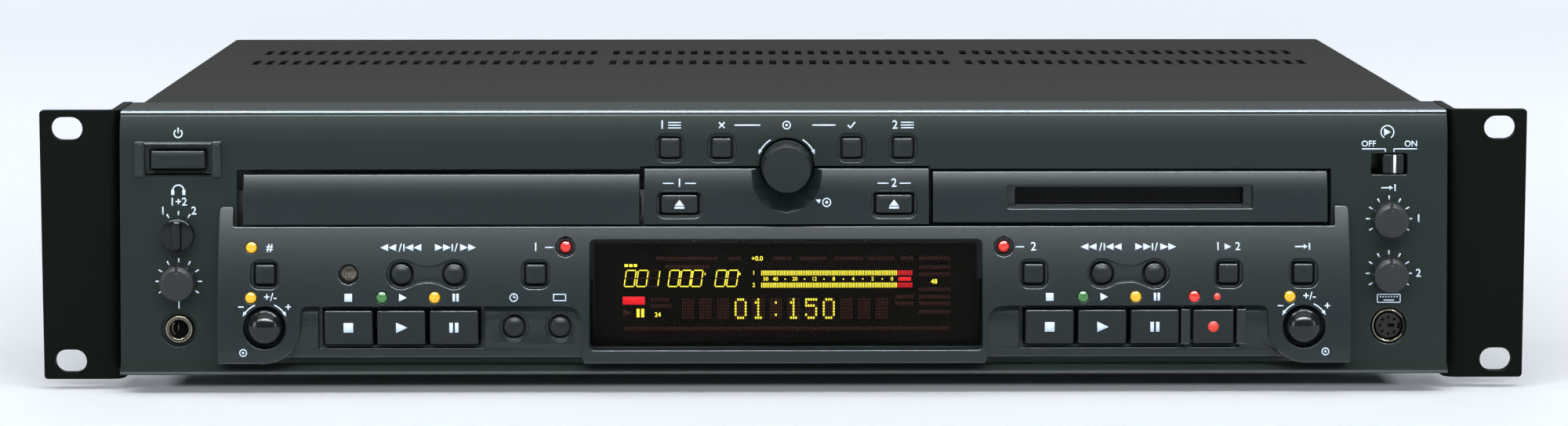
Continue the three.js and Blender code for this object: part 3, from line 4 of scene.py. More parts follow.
import bmesh
import bpy
import numpy as np
from bpy.props import FloatProperty, FloatVectorProperty, PointerProperty
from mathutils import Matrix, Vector


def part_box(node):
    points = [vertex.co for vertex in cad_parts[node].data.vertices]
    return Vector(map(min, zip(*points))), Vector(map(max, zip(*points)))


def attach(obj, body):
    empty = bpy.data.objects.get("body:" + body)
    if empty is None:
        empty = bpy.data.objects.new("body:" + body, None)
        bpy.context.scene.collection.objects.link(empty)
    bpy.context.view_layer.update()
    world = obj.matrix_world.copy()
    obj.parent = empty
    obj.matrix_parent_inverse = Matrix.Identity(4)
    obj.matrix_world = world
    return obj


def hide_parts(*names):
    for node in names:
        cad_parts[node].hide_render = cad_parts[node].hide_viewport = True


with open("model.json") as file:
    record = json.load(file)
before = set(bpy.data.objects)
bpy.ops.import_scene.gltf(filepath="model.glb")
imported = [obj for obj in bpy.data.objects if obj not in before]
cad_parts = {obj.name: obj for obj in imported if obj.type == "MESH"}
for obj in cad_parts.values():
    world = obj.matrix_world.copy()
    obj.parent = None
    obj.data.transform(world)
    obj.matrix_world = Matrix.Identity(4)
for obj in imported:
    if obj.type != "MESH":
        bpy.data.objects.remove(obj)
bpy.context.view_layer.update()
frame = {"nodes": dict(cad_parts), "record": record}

bl_info = {
    "name": "Rack disc deck",
    "version": (1, 0, 0),
    "blender": (4, 5, 0),
    "location": "3D View > Sidebar > Deck",
    "description": "Finishes, caps, knobs, lamps, display and markings of a rack disc deck",
    "category": "Object",
}

MM = 0.001
NODES = frame["nodes"]
BODIES = frame["record"]["behaviour"]["bodies"]
BODY_OF = {node: body for body, nodes in BODIES.items() for node in nodes}
SLOT_OF = {part["node"]: part["material_slot"] for part in frame["record"]["subparts"]}
EAR_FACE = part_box("rack_ear_left")[0][1]
PANEL_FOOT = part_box("front_panel")[0][2]
ROOT = "deck"

# The faces of the front, in mm: how far out they stand at what height above the panel's foot
PANEL_FOOT_OUT, PANEL_FOOT_UP = 9.3, 3.4
PANEL_CROWN_OUT, PANEL_CROWN_UP = 3.3, 74.0
PANEL_HEIGHT, PANEL_TOP_OUT, PANEL_TOP_RADIUS = 85.0, 0.4, 1.8
CROWN_FACETS = 3
HORN_UP, ESCUTCHEON_MID_UP, ESCUTCHEON_LOW_UP = 54.1, 30.0, 8.0
ESCUTCHEON_OUTS = (6.2, 15.3, 16.9)
ESCUTCHEON_FACETS = 5
FRONTS_LOW_UP, FRONTS_HIGH_UP = 48.5, 66.3
FRONTS_LOW_OUT, FRONTS_HIGH_OUT = 8.3, 5.0
FRONT_HEIGHTS = {
    "centre_plate": (48.5, 66.3), "minidisc_front": (49.1, 65.3), "tray_door": (48.5, 64.5),
}
FRONT_KNEE_SHARE, FRONT_KNEE = 5 / 6, 0.3
FRONT_BEND_SHARE, FRONT_BEND = 0.4, 1.4

# Columns and rows of the front, in mm
KNOB_COLUMN, PITCH_COLUMN, JOG_X = 196.1, 167.6, 0.7
SELECTOR_UP, VOLUME_UP, JOG_UP, PITCH_UP = 45.2, 30.0, 67.2, 16.0
INPUT_UPS = (49.8, 32.1)
LAMP_ROW, STATE_ROW, SQUARE_ROW = 41.4, 25.6, 32.9
MENU_UP, MENU_LABEL_UP, EJECT_UP, POWER_UP = 72.9, 80.2, 55.0, 69.3
INNER_MENU, OUTER_MENU, EJECT_SPREAD = 21.0, 37.7, 34.7
LEFT_PLAY, RIGHT_PLAY, KEY_PITCH, RECORD_X = -123.7, 102.5, 17.0, 138.4
SOURCE_X, DUBBING_X, TIME_X, DISPLAY_KEY_X = 80.4, 143.3, -87.4, -72.6
SCREW_X = -140.7
LAMP_X_BY_STATE = 6.2

# Each lamp's name, column, row and colour, and whether it is sunk in a ring
LAMPS = (
    ("key_lamp", -172.1, LAMP_ROW, "amber", False),
    ("disc_lamp", -70.8, LAMP_ROW, "red", True),
    ("minidisc_lamp", 70.8, LAMP_ROW, "red", True),
    ("disc_pitch_lamp", -172.1, STATE_ROW, "amber", False),
    ("disc_play_lamp", LEFT_PLAY - LAMP_X_BY_STATE, STATE_ROW, "green", False),
    ("disc_ready_lamp", LEFT_PLAY + KEY_PITCH - LAMP_X_BY_STATE, STATE_ROW, "amber", False),
    ("minidisc_play_lamp", RIGHT_PLAY - LAMP_X_BY_STATE, STATE_ROW, "green", False),
    ("minidisc_ready_lamp", RIGHT_PLAY + KEY_PITCH - LAMP_X_BY_STATE, STATE_ROW, "amber", False),
    ("record_lamp", RECORD_X - LAMP_X_BY_STATE, STATE_ROW, "red", False),
    ("minidisc_pitch_lamp", 163.1, STATE_ROW, "amber", False),
)

# Nodes by the way that they are made, and the finishes that go onto the solids themselves
CAP_BUTTONS = [
    node for node in BODY_OF if node.endswith("_button") or node.startswith("menu_button")
]
CROWN_SHARES = (0.96, 0.8, 0.65, 0.5, 0.35, 0.2, 0.1, 0)
TRANSPORT_KEYS = [node for node in BODY_OF if node.endswith("_key")]
TURNING_KNOBS = ("phones_volume_knob", "input_knob_left", "input_knob_right")
PITCH_KNOBS = ("pitch_knob_left", "pitch_knob_right")
KEPT_FINISHES = {
    "chassis_steel": "zinc sheet", "board": "board laminate", "tray_plastic": "black plastic",
    "module": "display face", "foot_rubber": "foot rubber", "socket_nickel": "black plastic",
}
NUMBERED = (("1", -1), ("2", 1))
SHARP = math.radians(38)


def panel_out(up):
    """Straight line from foot to crown, and above the crown a square drop to the top edge."""
    lean = (PANEL_FOOT_OUT - PANEL_CROWN_OUT) / (PANEL_CROWN_UP - PANEL_FOOT_UP)
    straight = PANEL_FOOT_OUT - lean * (up - PANEL_FOOT_UP)
    crown = np.maximum(0, up - PANEL_CROWN_UP) / (PANEL_HEIGHT - PANEL_CROWN_UP)
    drop = PANEL_CROWN_OUT - lean * (PANEL_HEIGHT - PANEL_CROWN_UP) - PANEL_TOP_OUT
    return straight - drop * crown ** 2


def panel_chords(up):
    """The panel's face as its solid has it, with flat facets above the crown."""
    heights = np.linspace(PANEL_CROWN_UP, PANEL_HEIGHT - PANEL_TOP_RADIUS, CROWN_FACETS + 1)
    chords = np.interp(up, heights, panel_out(heights))
    return np.where(up < PANEL_CROWN_UP, panel_out(up), chords)


def escutcheon_curve(up):
    """Quadratic curve through three weighted points, found from its height."""
    bend = HORN_UP - 2 * ESCUTCHEON_MID_UP + ESCUTCHEON_LOW_UP
    slope = 2 * (HORN_UP - ESCUTCHEON_MID_UP)
    fall = HORN_UP - np.maximum(up, ESCUTCHEON_LOW_UP)
    t = (slope - np.sqrt(slope ** 2 - 4 * bend * fall)) / (2 * bend)
    top, middle, low = ESCUTCHEON_OUTS
    return (1 - t) ** 2 * top + 2 * t * (1 - t) * middle + t ** 2 * low


def escutcheon_out(up):
    """The curve's chords, as its solid has them, so that a print lies on the solid."""
    heights = np.linspace(ESCUTCHEON_LOW_UP, HORN_UP, ESCUTCHEON_FACETS + 1)
    return np.interp(up, heights, escutcheon_curve(heights))


def fronts_out(up):
    """Straight line from the low to the high edge of the fronts."""
    return np.interp(up, (FRONTS_LOW_UP, FRONTS_HIGH_UP), (FRONTS_LOW_OUT, FRONTS_HIGH_OUT))


def front_faces(node):
    """A front's two straight facets as its solid has them, and the curve drawn instead."""
    low, high = FRONT_HEIGHTS[node]
    knee = low + (high - low) * FRONT_KNEE_SHARE
    outs = (fronts_out(low), fronts_out(high) + FRONT_KNEE, fronts_out(high))

    def flat(up):
        """Two straight facets that meet at the knee."""
        return np.interp(up, (low, knee, high), outs)

    def curve(up):
        """A straight rise, less a square drop above the bend."""
        share = np.clip((up - low) / (high - low), 0, 1)
        bent = np.maximum(0, share - FRONT_BEND_SHARE) / (1 - FRONT_BEND_SHARE)
        return outs[0] + (outs[2] - outs[0] + FRONT_BEND) * share - FRONT_BEND * bent ** 2

    return flat, curve


def to_world(x, up, out):
    """Arrays of x, up and out in mm, as an array of points in the frame."""
    x, up, out = np.broadcast_arrays(x, up, out)
    return np.stack([x * MM, EAR_FACE - out * MM, PANEL_FOOT + up * MM], axis=-1)


def smooth(mesh):
    """Smooth shading that stays sharp at edges steeper than the angle."""
    degrees = 32
    mesh.polygons.foreach_set("use_smooth", np.ones(len(mesh.polygons), dtype=bool))
    mesh.set_sharp_from_angle(angle=math.radians(degrees))


def finished(name, skin, material, body, replaced=()):
    """A mesh object at the origin, of a skin's points and faces, that rides on a body."""
    points, faces = skin
    mesh = bpy.data.meshes.new(name)
    mesh.from_pydata(np.asarray(points).reshape(-1, 3).tolist(), [], faces)
    mesh.update()
    mesh.materials.append(bpy.data.materials[material])
    thing = bpy.data.objects.new(name, mesh)
    bpy.context.scene.collection.objects.link(thing)
    smooth(mesh)
    if replaced:
        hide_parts(*replaced)
    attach(thing, body)
    return thing


def stand_in(name, node, skin, material):
    """A finished piece that takes a node's place and body."""
    return finished(name, skin, material, BODY_OF[node], (node,))


def ring_faces(rings, around):
    """Quads between neighbouring rings of a grid, wrapped around, and a face over each end."""
    r, a = np.meshgrid(np.arange(rings - 1), np.arange(around), indexing="ij")
    b = (a + 1) % around
    quads = np.stack(
        [r * around + a, r * around + b, (r + 1) * around + b, (r + 1) * around + a], axis=-1)
    last = (rings - 1) * around
    ends = [list(range(around - 1, -1, -1)), list(range(last, last + around))]
    return quads.reshape(-1, 4).tolist() + ends


def rounded_ring(width, height, radius):
    """Points of a rectangle with quarter-circle corners, counter-clockwise."""
    steps = 6
    angle = np.linspace(0, math.pi / 2, steps + 1)
    turn = np.concatenate([angle + quarter * math.pi / 2 for quarter in range(4)])
    sides = np.repeat([[1, 1], [-1, 1], [-1, -1], [1, -1]], steps + 1, axis=0)
    centre = sides * np.array([width / 2 - radius, height / 2 - radius])
    return centre + radius * np.stack([np.cos(turn), np.sin(turn)], axis=-1)


def stacked(x, up, rings):
    """Rounded rectangles of width, height, radius and out, one behind the other, as a skin."""
    levels = []
    for width, height, radius, out in rings:
        ring = rounded_ring(width, height, radius)
        levels.append(to_world(x + ring[:, 0], up + ring[:, 1], out))
    return np.concatenate(levels), ring_faces(len(levels), len(levels[0]))


def turned(x, up, profile, around=96, notch=None):
    """A profile of radius and out carried round the axis, and a notch along one radius if asked."""
    layer = 1.2
    radius, out = np.array(profile, dtype=float).T
    angle = np.arange(around) * 2 * math.pi / around
    across = radius[:, None] * np.cos(angle)
    along = radius[:, None] * np.sin(angle)
    depth = out[:, None] + 0 * across
    if notch:
        width, start, deep = notch
        inside = np.exp(-(across / width) ** 2) * np.clip((along - start) / width, 0, 1)
        front = out[:, None] >= out.max() - layer * deep
        depth = depth - deep * inside * front
    points = to_world(x + across, up + along, depth).reshape(-1, 3)
    return points, ring_faces(len(radius), around)


def fillet(radius, steps=4):
    """Pairs of inset and drop along a quarter circle, from the face to the side."""
    angle = np.linspace(0, math.pi / 2, steps + 1)
    return [(radius * (1 - math.sin(a)), radius * (1 - math.cos(a))) for a in angle]


def corners(mesh):
    """The corners of a mesh in metres, with their up and out in mm."""
    places = np.empty((len(mesh.vertices), 3))
    mesh.vertices.foreach_get("co", places.ravel())
    return places, (places[:, 2] - PANEL_FOOT) / MM, (EAR_FACE - places[:, 1]) / MM


def points_of(node):
    """The corners of a node in mm: x, out and up."""
    places, up, out = corners(NODES[node].data)
    return places[:, 0] / MM, out, up


def middle_of(node):
    """The middle of a node in mm: x and up."""
    x, _, up = points_of(node)
    return (x.min() + x.max()) / 2, (up.min() + up.max()) / 2


def shade_by_face(mesh, face):
    """Corner normals of what lies on a curved face, from the face's slope at each height."""
    step, reach, likeness = 0.05, 0.06, 0.93
    vertex_of, sizes = np.empty(len(mesh.loops), dtype=int), np.empty(len(mesh.polygons), dtype=int)
    normals, flat = np.empty((len(mesh.loops), 3)), np.empty((len(mesh.polygons), 3))
    mesh.loops.foreach_get("vertex_index", vertex_of)
    mesh.polygons.foreach_get("loop_total", sizes)
    mesh.corner_normals.foreach_get("vector", normals.ravel())
    mesh.polygons.foreach_get("normal", flat.ravel())
    _, up, out = corners(mesh)
    slope = (face(up + step) - face(up - step)) / (2 * step)
    wanted = np.stack([0 * slope, -np.ones_like(slope), -slope], axis=-1)
    wanted = (wanted / np.linalg.norm(wanted, axis=1)[:, None])[vertex_of]
    on_face = (np.abs(out - face(up)) < reach)[vertex_of]
    alike = (np.repeat(flat, sizes, axis=0) * wanted).sum(axis=1) > likeness
    chosen = (on_face & alike)[:, None]
    mesh.normals_split_custom_set(np.where(chosen, wanted, normals).tolist())


def cut_rows(work):
    """Cut a mesh into level rows, so that it can follow a curve."""
    row, hair = 1.1, 0.01
    heights = [(corner.co.z - PANEL_FOOT) / MM for corner in work.verts]
    for height in np.arange(min(heights) + row, max(heights), row):
        bmesh.ops.bisect_plane(
            work, geom=[*work.verts, *work.edges, *work.faces], dist=hair * MM,
            plane_co=(0, 0, PANEL_FOOT + height * MM), plane_no=(0, 0, 1))


def shift_onto(mesh, width, flat, face):
    """Shift a mesh's straight facets, with their rounded edges, onto the curve."""
    reach = 0.1
    places, up, out = corners(mesh)
    proud = out - flat(up)
    near = (proud > -width - reach) & (proud < reach)
    places[:, 1] -= np.where(near, face(up) - flat(up), 0) * MM
    mesh.vertices.foreach_set("co", places.ravel())
    mesh.update()


def press_back(work, flat, above):
    """Press what stands in front of the flat facets above a height back onto them."""
    for corner in work.verts:
        up, out = (corner.co.z - PANEL_FOOT) / MM, (EAR_FACE - corner.co.y) / MM
        if up > above:
            corner.co.y = EAR_FACE - min(out, float(flat(up))) * MM


def round_edges(work, width):
    """Round the edges of a mesh that are sharper than the angle."""
    edges = [edge for edge in work.edges
             if len(edge.link_faces) == 2 and edge.calc_face_angle() > SHARP]
    bmesh.ops.bevel(work, geom=edges, offset=width * MM, offset_type="OFFSET", segments=2,
                    profile=0.5, affect="EDGES", clamp_overlap=False)


def eased(node, material, width, flat=None, face=None, bosses_from=None):
    """A copy of a node, corners merged and flat facets joined, with its sharp edges rounded."""
    merged, level_degrees = 0.002, 0.4
    mesh = NODES[node].data.copy()
    work = bmesh.new()
    work.from_mesh(mesh)
    if bosses_from:
        press_back(work, flat, bosses_from)
    bmesh.ops.remove_doubles(work, verts=work.verts, dist=merged * MM)
    bmesh.ops.dissolve_limit(work, angle_limit=math.radians(level_degrees), verts=work.verts,
                             edges=work.edges, delimit=set())
    if face:
        round_edges(work, width)
        cut_rows(work)
    work.to_mesh(mesh)
    work.free()
    if face:
        shift_onto(mesh, width, flat, face)
    mesh.materials.clear()
    mesh.materials.append(bpy.data.materials[material])
    piece = bpy.data.objects.new("finished_" + node, mesh)
    bpy.context.scene.collection.objects.link(piece)
    smooth(mesh)
    if face:
        shade_by_face(mesh, face)
    elif width:
        bevel = piece.modifiers.new("eased edges", "BEVEL")
        bevel.width, bevel.segments = width * MM, 2
        bevel.limit_method, bevel.angle_limit = "ANGLE", SHARP
        bevel.harden_normals = bevel.use_clamp_overlap = True
    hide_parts(node)
    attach(piece, BODY_OF[node])
    return piece


# Finishes
def add_nodes(material, *kinds):
    """One new shader node of each kind."""
    return [material.node_tree.nodes.new("ShaderNode" + kind) for kind in kinds]


def settle(node, values):
    """Set a node's inputs, given by name or number."""
    for name, value in values.items():
        node.inputs[name].default_value = value


def join(material, *links):
    """Link each node's output to the next node's input."""
    for source, output, target, entry in links:
        material.node_tree.links.new(source.outputs[output], target.inputs[entry])


def finish(name, colour, rough, grain=2600, depth=0.05, tone=0.12, metal=0.0, stretch=(1, 1, 1),
           coat=0.0, coat_rough=0.12, alpha=1.0, glow=None, glow_strength=0.0, specular=0.28,
           speckle=False):
    """Fine grain in bump and roughness, and slow drifts of tone, from the object's coordinates."""
    drift, bump_gain, least_share, most_share = 26, 6, 0.86, 1.16
    material = bpy.data.materials.new(name)
    material.use_nodes = True
    shader = material.node_tree.nodes["Principled BSDF"]
    place, mapping, fine, broad, bump, roughness, tones = add_nodes(
        material, "TexCoord", "Mapping", "TexNoise", "TexNoise", "Bump", "MapRange", "Mix")
    tones.data_type = "RGBA"
    settle(mapping, {"Scale": stretch})
    settle(fine, {"Scale": grain, "Detail": 3})
    settle(broad, {"Scale": drift, "Detail": 4})
    settle(bump, {"Strength": depth * bump_gain, "Distance": depth * MM})
    settle(roughness, {"To Min": rough * least_share, "To Max": min(1, rough * most_share)})
    settle(tones, {"A": (*[c * (1 - tone) for c in colour], 1),
                   "B": (*[min(1, c * (1 + tone)) for c in colour], 1)})
    settle(shader, {"Metallic": metal, "Coat Weight": coat, "Coat Roughness": coat_rough,
                    "Specular IOR Level": specular, "Alpha": alpha})
    if glow:
        settle(shader, {"Emission Color": (*glow, 1), "Emission Strength": glow_strength})
    join(material, (place, "Object", mapping, "Vector"), (mapping, "Vector", fine, "Vector"),
         (mapping, "Vector", broad, "Vector"), (fine, "Fac", bump, "Height"),
         (bump, "Normal", shader, "Normal"), (fine, "Fac", roughness, "Value"),
         (roughness, "Result", shader, "Roughness"),
         (fine if speckle else broad, "Fac", tones, "Factor"),
         (tones, "Result", shader, "Base Color"))
    return material


def colour_prop(label, default):
    """A colour that the user can change."""
    return FloatVectorProperty(name=label, description=f"Colour of the {label.lower()}",
                               subtype="COLOR", default=default, min=0, max=1)


def size_prop(label, description, default):
    """A length in mm that the user can change."""
    return FloatProperty(name=label, description=description + ", in mm", default=default, min=0)


class DeckColours(bpy.types.PropertyGroup):
    """Linear colours of the deck's finishes"""
    panel: colour_prop("Panel", (0.0125, 0.0205, 0.019))
    escutcheon: colour_prop("Escutcheon", (0.009, 0.016, 0.018))
    caps: colour_prop("Caps", (0.006, 0.0108, 0.012))
    knobs: colour_prop("Knobs", (0.0105, 0.0135, 0.0135))
    cover: colour_prop("Cover", (0.0074, 0.0072, 0.0048))
    ears: colour_prop("Ears", (0.002, 0.0035, 0.002))
    printing: colour_prop("Printing", (0.62, 0.74, 0.90))
    floor: colour_prop("Floor", (0.76, 0.79, 0.82))


class DeckSizes(bpy.types.PropertyGroup):
    """Small sizes of the finish"""
    edge: size_prop("Edge", "Rounding of moulded edges", 0.3)
    cap_edge: size_prop("Cap edge", "Rounding of the caps", 0.5)
    lift: size_prop("Print lift", "Gap between a face and its print", 0.05)
    print_thickness: size_prop("Print", "Thickness of a print", 0.03)
    stroke: size_prop("Stroke", "Width of a printed line", 0.45)


class DeckOperator(bpy.types.Operator):
    """Base for the deck's operators"""
    bl_options = {"REGISTER", "UNDO"}


class DECK_OT_finishes(DeckOperator):
    """Make every finish of the deck"""
    bl_idname = "deck.finishes"
    bl_label = "Finishes"

    def execute(self, context):
        colours = context.scene.deck_colours
        streak_stretch = (0.05, 1, 1)
        finish("panel grain", colours.panel, 0.5, grain=2200, coat=0.3, specular=0.12)
        # A gloss-free copy of the panel's finish, laid on the foot's slope as painted shade.
        finish("panel shaded copy", (0.023, 0.032, 0.029), 0.7, grain=2200, depth=0.03, specular=0)
        finish("escutcheon satin", colours.escutcheon, 0.29, grain=3000, depth=0.03, specular=0.42)
        finish("cap satin", colours.caps, 0.34, grain=3200, depth=0.02, specular=0.36)
        finish("knob grain", colours.knobs, 0.4, grain=1300, depth=0.1, tone=0.75,
               speckle=True, specular=0.5)
        finish("selector gloss", (0.003, 0.0042, 0.005), 0.2, depth=0.002, specular=0.3)
        finish("ball gloss", (0.003, 0.0042, 0.0055), 0.17, depth=0.002, specular=0.5)
        finish("cover coat", colours.cover, 0.46, grain=1500, depth=0.12, tone=0.2, specular=0.2)
        finish("ear paint", colours.ears, 0.42, grain=1800, depth=0.06, specular=0.08)
        finish("zinc sheet", (0.50, 0.51, 0.50), 0.34, grain=500, depth=0.03, metal=1,
               stretch=(1, 14, 1))
        # Bright metal finishes that stand for highlights: painted highlights on the feet of panel
        # and escutcheon and on the panel's top edge.
        for name, colour in (
                ("foot highlight", (0.12, 0.13, 0.125)), ("top edge highlight", (0.07, 0.077, 0.084))):
            finish(name, colour, 0.4, grain=700, depth=0.001, metal=1, stretch=streak_stretch)
        finish("bronze nickel", (0.25, 0.225, 0.17), 0.24, depth=0.004, metal=1)
        finish("dark screw", (0.17, 0.155, 0.125), 0.26, depth=0.01, metal=1)
        finish("socket white", (0.55, 0.55, 0.52), 0.4, depth=0.01)
        finish("socket red", (0.42, 0.02, 0.02), 0.4, depth=0.01)
        finish("black plastic", (0.008, 0.008, 0.009), 0.4, depth=0.03)
        finish("core plastic", (0.013, 0.013, 0.011), 0.42, depth=0.02)
        finish("flap plastic", (0.003, 0.0035, 0.003), 0.5, depth=0.01, specular=0.15)
        # Near black laid on the floors of holes and bores: painted shade.
        finish("painted hole shade", (0.0012, 0.0012, 0.0012), 0.7, depth=0.01, specular=0.05)
        finish("board laminate", (0.007, 0.036, 0.016), 0.36, grain=900, depth=0.03, coat=0.2)
        finish("lens smoke", (0.003, 0.0028, 0.002), 0.08, grain=60, depth=0.0002, alpha=0.28,
               specular=0.1)
        finish("display face", (0.0065, 0.005, 0.0034), 0.4, grain=400, depth=0.001, specular=0.08)
        finish("foot rubber", (0.010, 0.010, 0.010), 0.72, depth=0.1)
        # Each print also glows faintly in its own colour: painted light that brightens it.
        for name, colour, strength in (
                ("white", (0.86, 0.88, 0.90), 0.2), ("blue", colours.printing, 0.18),
                ("red", (0.72, 0.06, 0.04), 0.22)):
            finish("print " + name, colour, 0.5, depth=0.01, glow=colour, glow_strength=strength)
        for name, colour, glow, strength in (
                ("amber", (0.78, 0.42, 0.012), (1, 0.52, 0.01), 0.22),
                ("red", (0.62, 0.03, 0.02), (1, 0.02, 0.01), 0.22),
                ("green", (0.045, 0.17, 0.045), (0.08, 0.5, 0.08), 0.07)):
            finish("lamp " + name, colour, 0.14, depth=0.001, coat=1, coat_rough=0.05, glow=glow,
                   glow_strength=strength)
        # Lit segments glow as lamps. The unlit ones get a faint glow too, painted light so that
        # they show behind the lens.
        for name, colour, rough, glow, strength in (
                ("lit", (0.9, 0.8, 0.08), 0.4, (1, 0.84, 0.06), 2.2),
                ("red", (0.8, 0.02, 0.03), 0.4, (1, 0.02, 0.03), 1.3),
                ("unlit", (0.03, 0.009, 0.005), 0.5, (0.05, 0.013, 0.006), 0.8)):
            finish("segment " + name, colour, rough, depth=0.004, glow=glow, glow_strength=strength)
        # The floor glows, and the glow is taken away under and near the deck as a painted shadow.
        floor = finish("studio floor", colours.floor, 0.9, grain=300, depth=0.01, tone=0.01,
                       glow=(0.86, 0.92, 1), specular=0)
        self.glow_with_painted_shadow(floor)
        return {"FINISHED"}

    def glow_with_painted_shadow(self, material):
        """Let the floor glow more with the distance from the deck, and not below the deck, which
        paints the deck's shadow on the floor.

        The place is folded onto one quarter, the deck's half size is taken off, and the length of
        what is left is the gap to the deck. The glow fades in over the first few mm of the gap.
        """
        inset, fade = 0.013, 0.007
        near, far, near_glow, far_glow = 0.3, 2.0, 0.20, 0.72
        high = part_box("chassis_tray")[1]
        front, back = EAR_FACE + inset, high[1] - inset
        place, length, rise, shift, fold, beyond, clipped, gap, shadow_fade, glow = add_nodes(
            material, "TexCoord", "VectorMath", "MapRange", *["VectorMath"] * 5, "MapRange", "Math")
        length.operation = gap.operation = "LENGTH"
        shift.operation = beyond.operation = "SUBTRACT"
        fold.operation, clipped.operation, glow.operation = "ABSOLUTE", "MAXIMUM", "MULTIPLY"
        settle(shift, {1: (0, (front + back) / 2, 0)})
        settle(beyond, {1: (high[0] - inset, (back - front) / 2, 0)})
        settle(rise, {"From Min": near, "From Max": far, "To Min": near_glow, "To Max": far_glow})
        # No glow under the deck, a painted shadow, fading in over the first few mm beyond it.
        settle(shadow_fade, {"From Max": fade})
        shader = material.node_tree.nodes["Principled BSDF"]
        join(material, (place, "Object", length, 0), (length, "Value", rise, "Value"),
             (place, "Object", shift, 0), (shift, "Vector", fold, 0), (fold, "Vector", beyond, 0),
             (beyond, "Vector", clipped, 0), (clipped, "Vector", gap, 0),
             (gap, "Value", shadow_fade, "Value"), (rise, "Result", glow, 0),
             (shadow_fade, "Result", glow, 1), (glow, "Value", shader, "Emission Strength"))


class DECK_OT_housing(DeckOperator):
    """Give the mouldings, sheet metal and inner nodes their finish"""
    bl_idname = "deck.housing"
    bl_label = "Housing"

    def execute(self, context):
        edge = context.scene.deck_sizes.edge
        panel = eased("front_panel", "panel grain", edge, panel_chords, panel_out,
                      bosses_from=MENU_UP + 4)
        self.panel_foot(panel)
        self.lower_edge(eased("control_escutcheon", "escutcheon satin", edge, escutcheon_out,
                              escutcheon_curve))
        self.top_edge()
        self.main_board()
        for node in FRONT_HEIGHTS:
            eased(node, "escutcheon satin", edge, *front_faces(node))
        for node, material in (
                ("display_lens", "lens smoke"), ("slide_switch_cap", "cap satin"),
                ("top_cover", "cover coat"), ("rack_ear_left", "ear paint"),
                ("rack_ear_right", "ear paint")):
            eased(node, material, edge)
        for node, slot in SLOT_OF.items():
            if slot in KEPT_FINISHES:
                name = "flap plastic" if node == "minidisc_slot_flap" else KEPT_FINISHES[slot]
                materials = NODES[node].data.materials
                materials.clear()
                materials.append(bpy.data.materials[name])
        return {"FINISHED"}

    def panel_foot(self, panel):
        """Painted shade: a gloss-free copy of the finish where the foot slopes up. Painted
        highlight: bright metal along its lowest edge.
        """
        shaded_slope, highlit = 1, 2
        highlight_low, highlight_top, foot_top, lean = 0.25, 1.2, PANEL_FOOT_UP + 0.4, 0.3
        for name in ("panel shaded copy", "foot highlight"):
            panel.data.materials.append(bpy.data.materials[name])
        for face in panel.data.polygons:
            up, out = (face.center.z - PANEL_FOOT) / MM, (EAR_FACE - face.center.y) / MM
            # The slope gets the gloss-free copy as painted shade, and the lowest edge gets bright
            # metal as a painted highlight.
            if up < foot_top and out > PANEL_FOOT_OUT and face.normal.y < -lean:
                if up > highlight_top or face.normal.z > lean:
                    face.material_index = shaded_slope
                elif up > highlight_low:
                    face.material_index = highlit

    def lower_edge(self, escutcheon):
        """A painted highlight: bright metal on the rounded edges that face down along the
        escutcheon's foot.
        """
        line_top, lean = 14, 0.25
        escutcheon.data.materials.append(bpy.data.materials["foot highlight"])
        for face in escutcheon.data.polygons:
            rounded = face.normal.z < -lean and face.normal.y < -lean
            if rounded and face.center.z < PANEL_FOOT + line_top * MM:
                face.material_index = 1

    def main_board(self):
        """Dark plastic above the board, and rear sockets sunk in steps: rim, insulator, hole, whose
        floor is near black as painted shade.
        """
        piece = eased("main_board", "board laminate", 0)
        for name in ("black plastic", "bronze nickel", "socket white", "socket red", "painted hole shade"):
            piece.data.materials.append(bpy.data.materials[name])
        plastic, metal, white, red, hole_shade = range(1, 6)
        rim, insulator, sunk, hole, slant, hair = 0.9, 1.5, -0.8, -4, 0.05, 0.01
        work = bmesh.new()
        work.from_mesh(piece.data)
        upper = [face for face in work.faces if face.normal.z > 0.9]
        board = max(upper, key=lambda face: face.calc_area()).calc_center_median().z
        back = max(corner.co.y for corner in work.verts)
        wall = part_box("chassis_tray")[1][1]
        for face in work.faces:
            centre = face.calc_center_median()
            if centre.z > board + slant * MM:
                behind = centre.y > wall + slant * MM and centre.x > 0
                face.material_index = metal if behind else plastic
        ends = [face for face in work.faces
                if face.normal.y > 0.9 and face.calc_center_median().y > back - hair * MM]
        middle = sum(face.calc_center_median().z for face in ends) / len(ends)

        def sink(thickness, depth):
            """Shrink each end by a thickness and move it by a depth."""
            bmesh.ops.inset_individual(work, faces=ends, thickness=thickness * MM, depth=depth * MM)

        sink(rim, 0)
        sink(slant, sunk)
        for face in ends:
            face.material_index = white if face.calc_center_median().z > middle else red
        sink(insulator, 0)
        sink(slant, hole)
        # The hole's floor is painted near black as shade.
        for face in ends:
            face.material_index = hole_shade
        work.to_mesh(piece.data)
        work.free()
        smooth(piece.data)

    def top_edge(self):
        """A painted highlight on the panel's top edge: a bright metal quarter circle carried along
        X, with a skin's thickness.
        """
        low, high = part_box("front_panel")
        radius, skin, inset, start = PANEL_TOP_RADIUS, 0.04, 0.3, 32
        angle = np.radians(np.linspace(start, 90, 9))
        centre_up = PANEL_HEIGHT - radius
        centre_out = float(panel_chords(centre_up)) - radius
        arcs = [np.stack([centre_out + r * np.cos(angle), centre_up + r * np.sin(angle)], axis=-1)
                for r in (radius + skin, radius - skin)]
        section = np.concatenate([arcs[0], arcs[1][::-1]])
        section[:, 1] = np.minimum(section[:, 1], PANEL_HEIGHT)
        ends = np.array([low[0] / MM + inset, high[0] / MM - inset])
        points = to_world(ends[:, None], section[:, 1], section[:, 0])
        finished("panel_top_edge", (points, ring_faces(len(ends), len(section))), "top edge highlight", ROOT)


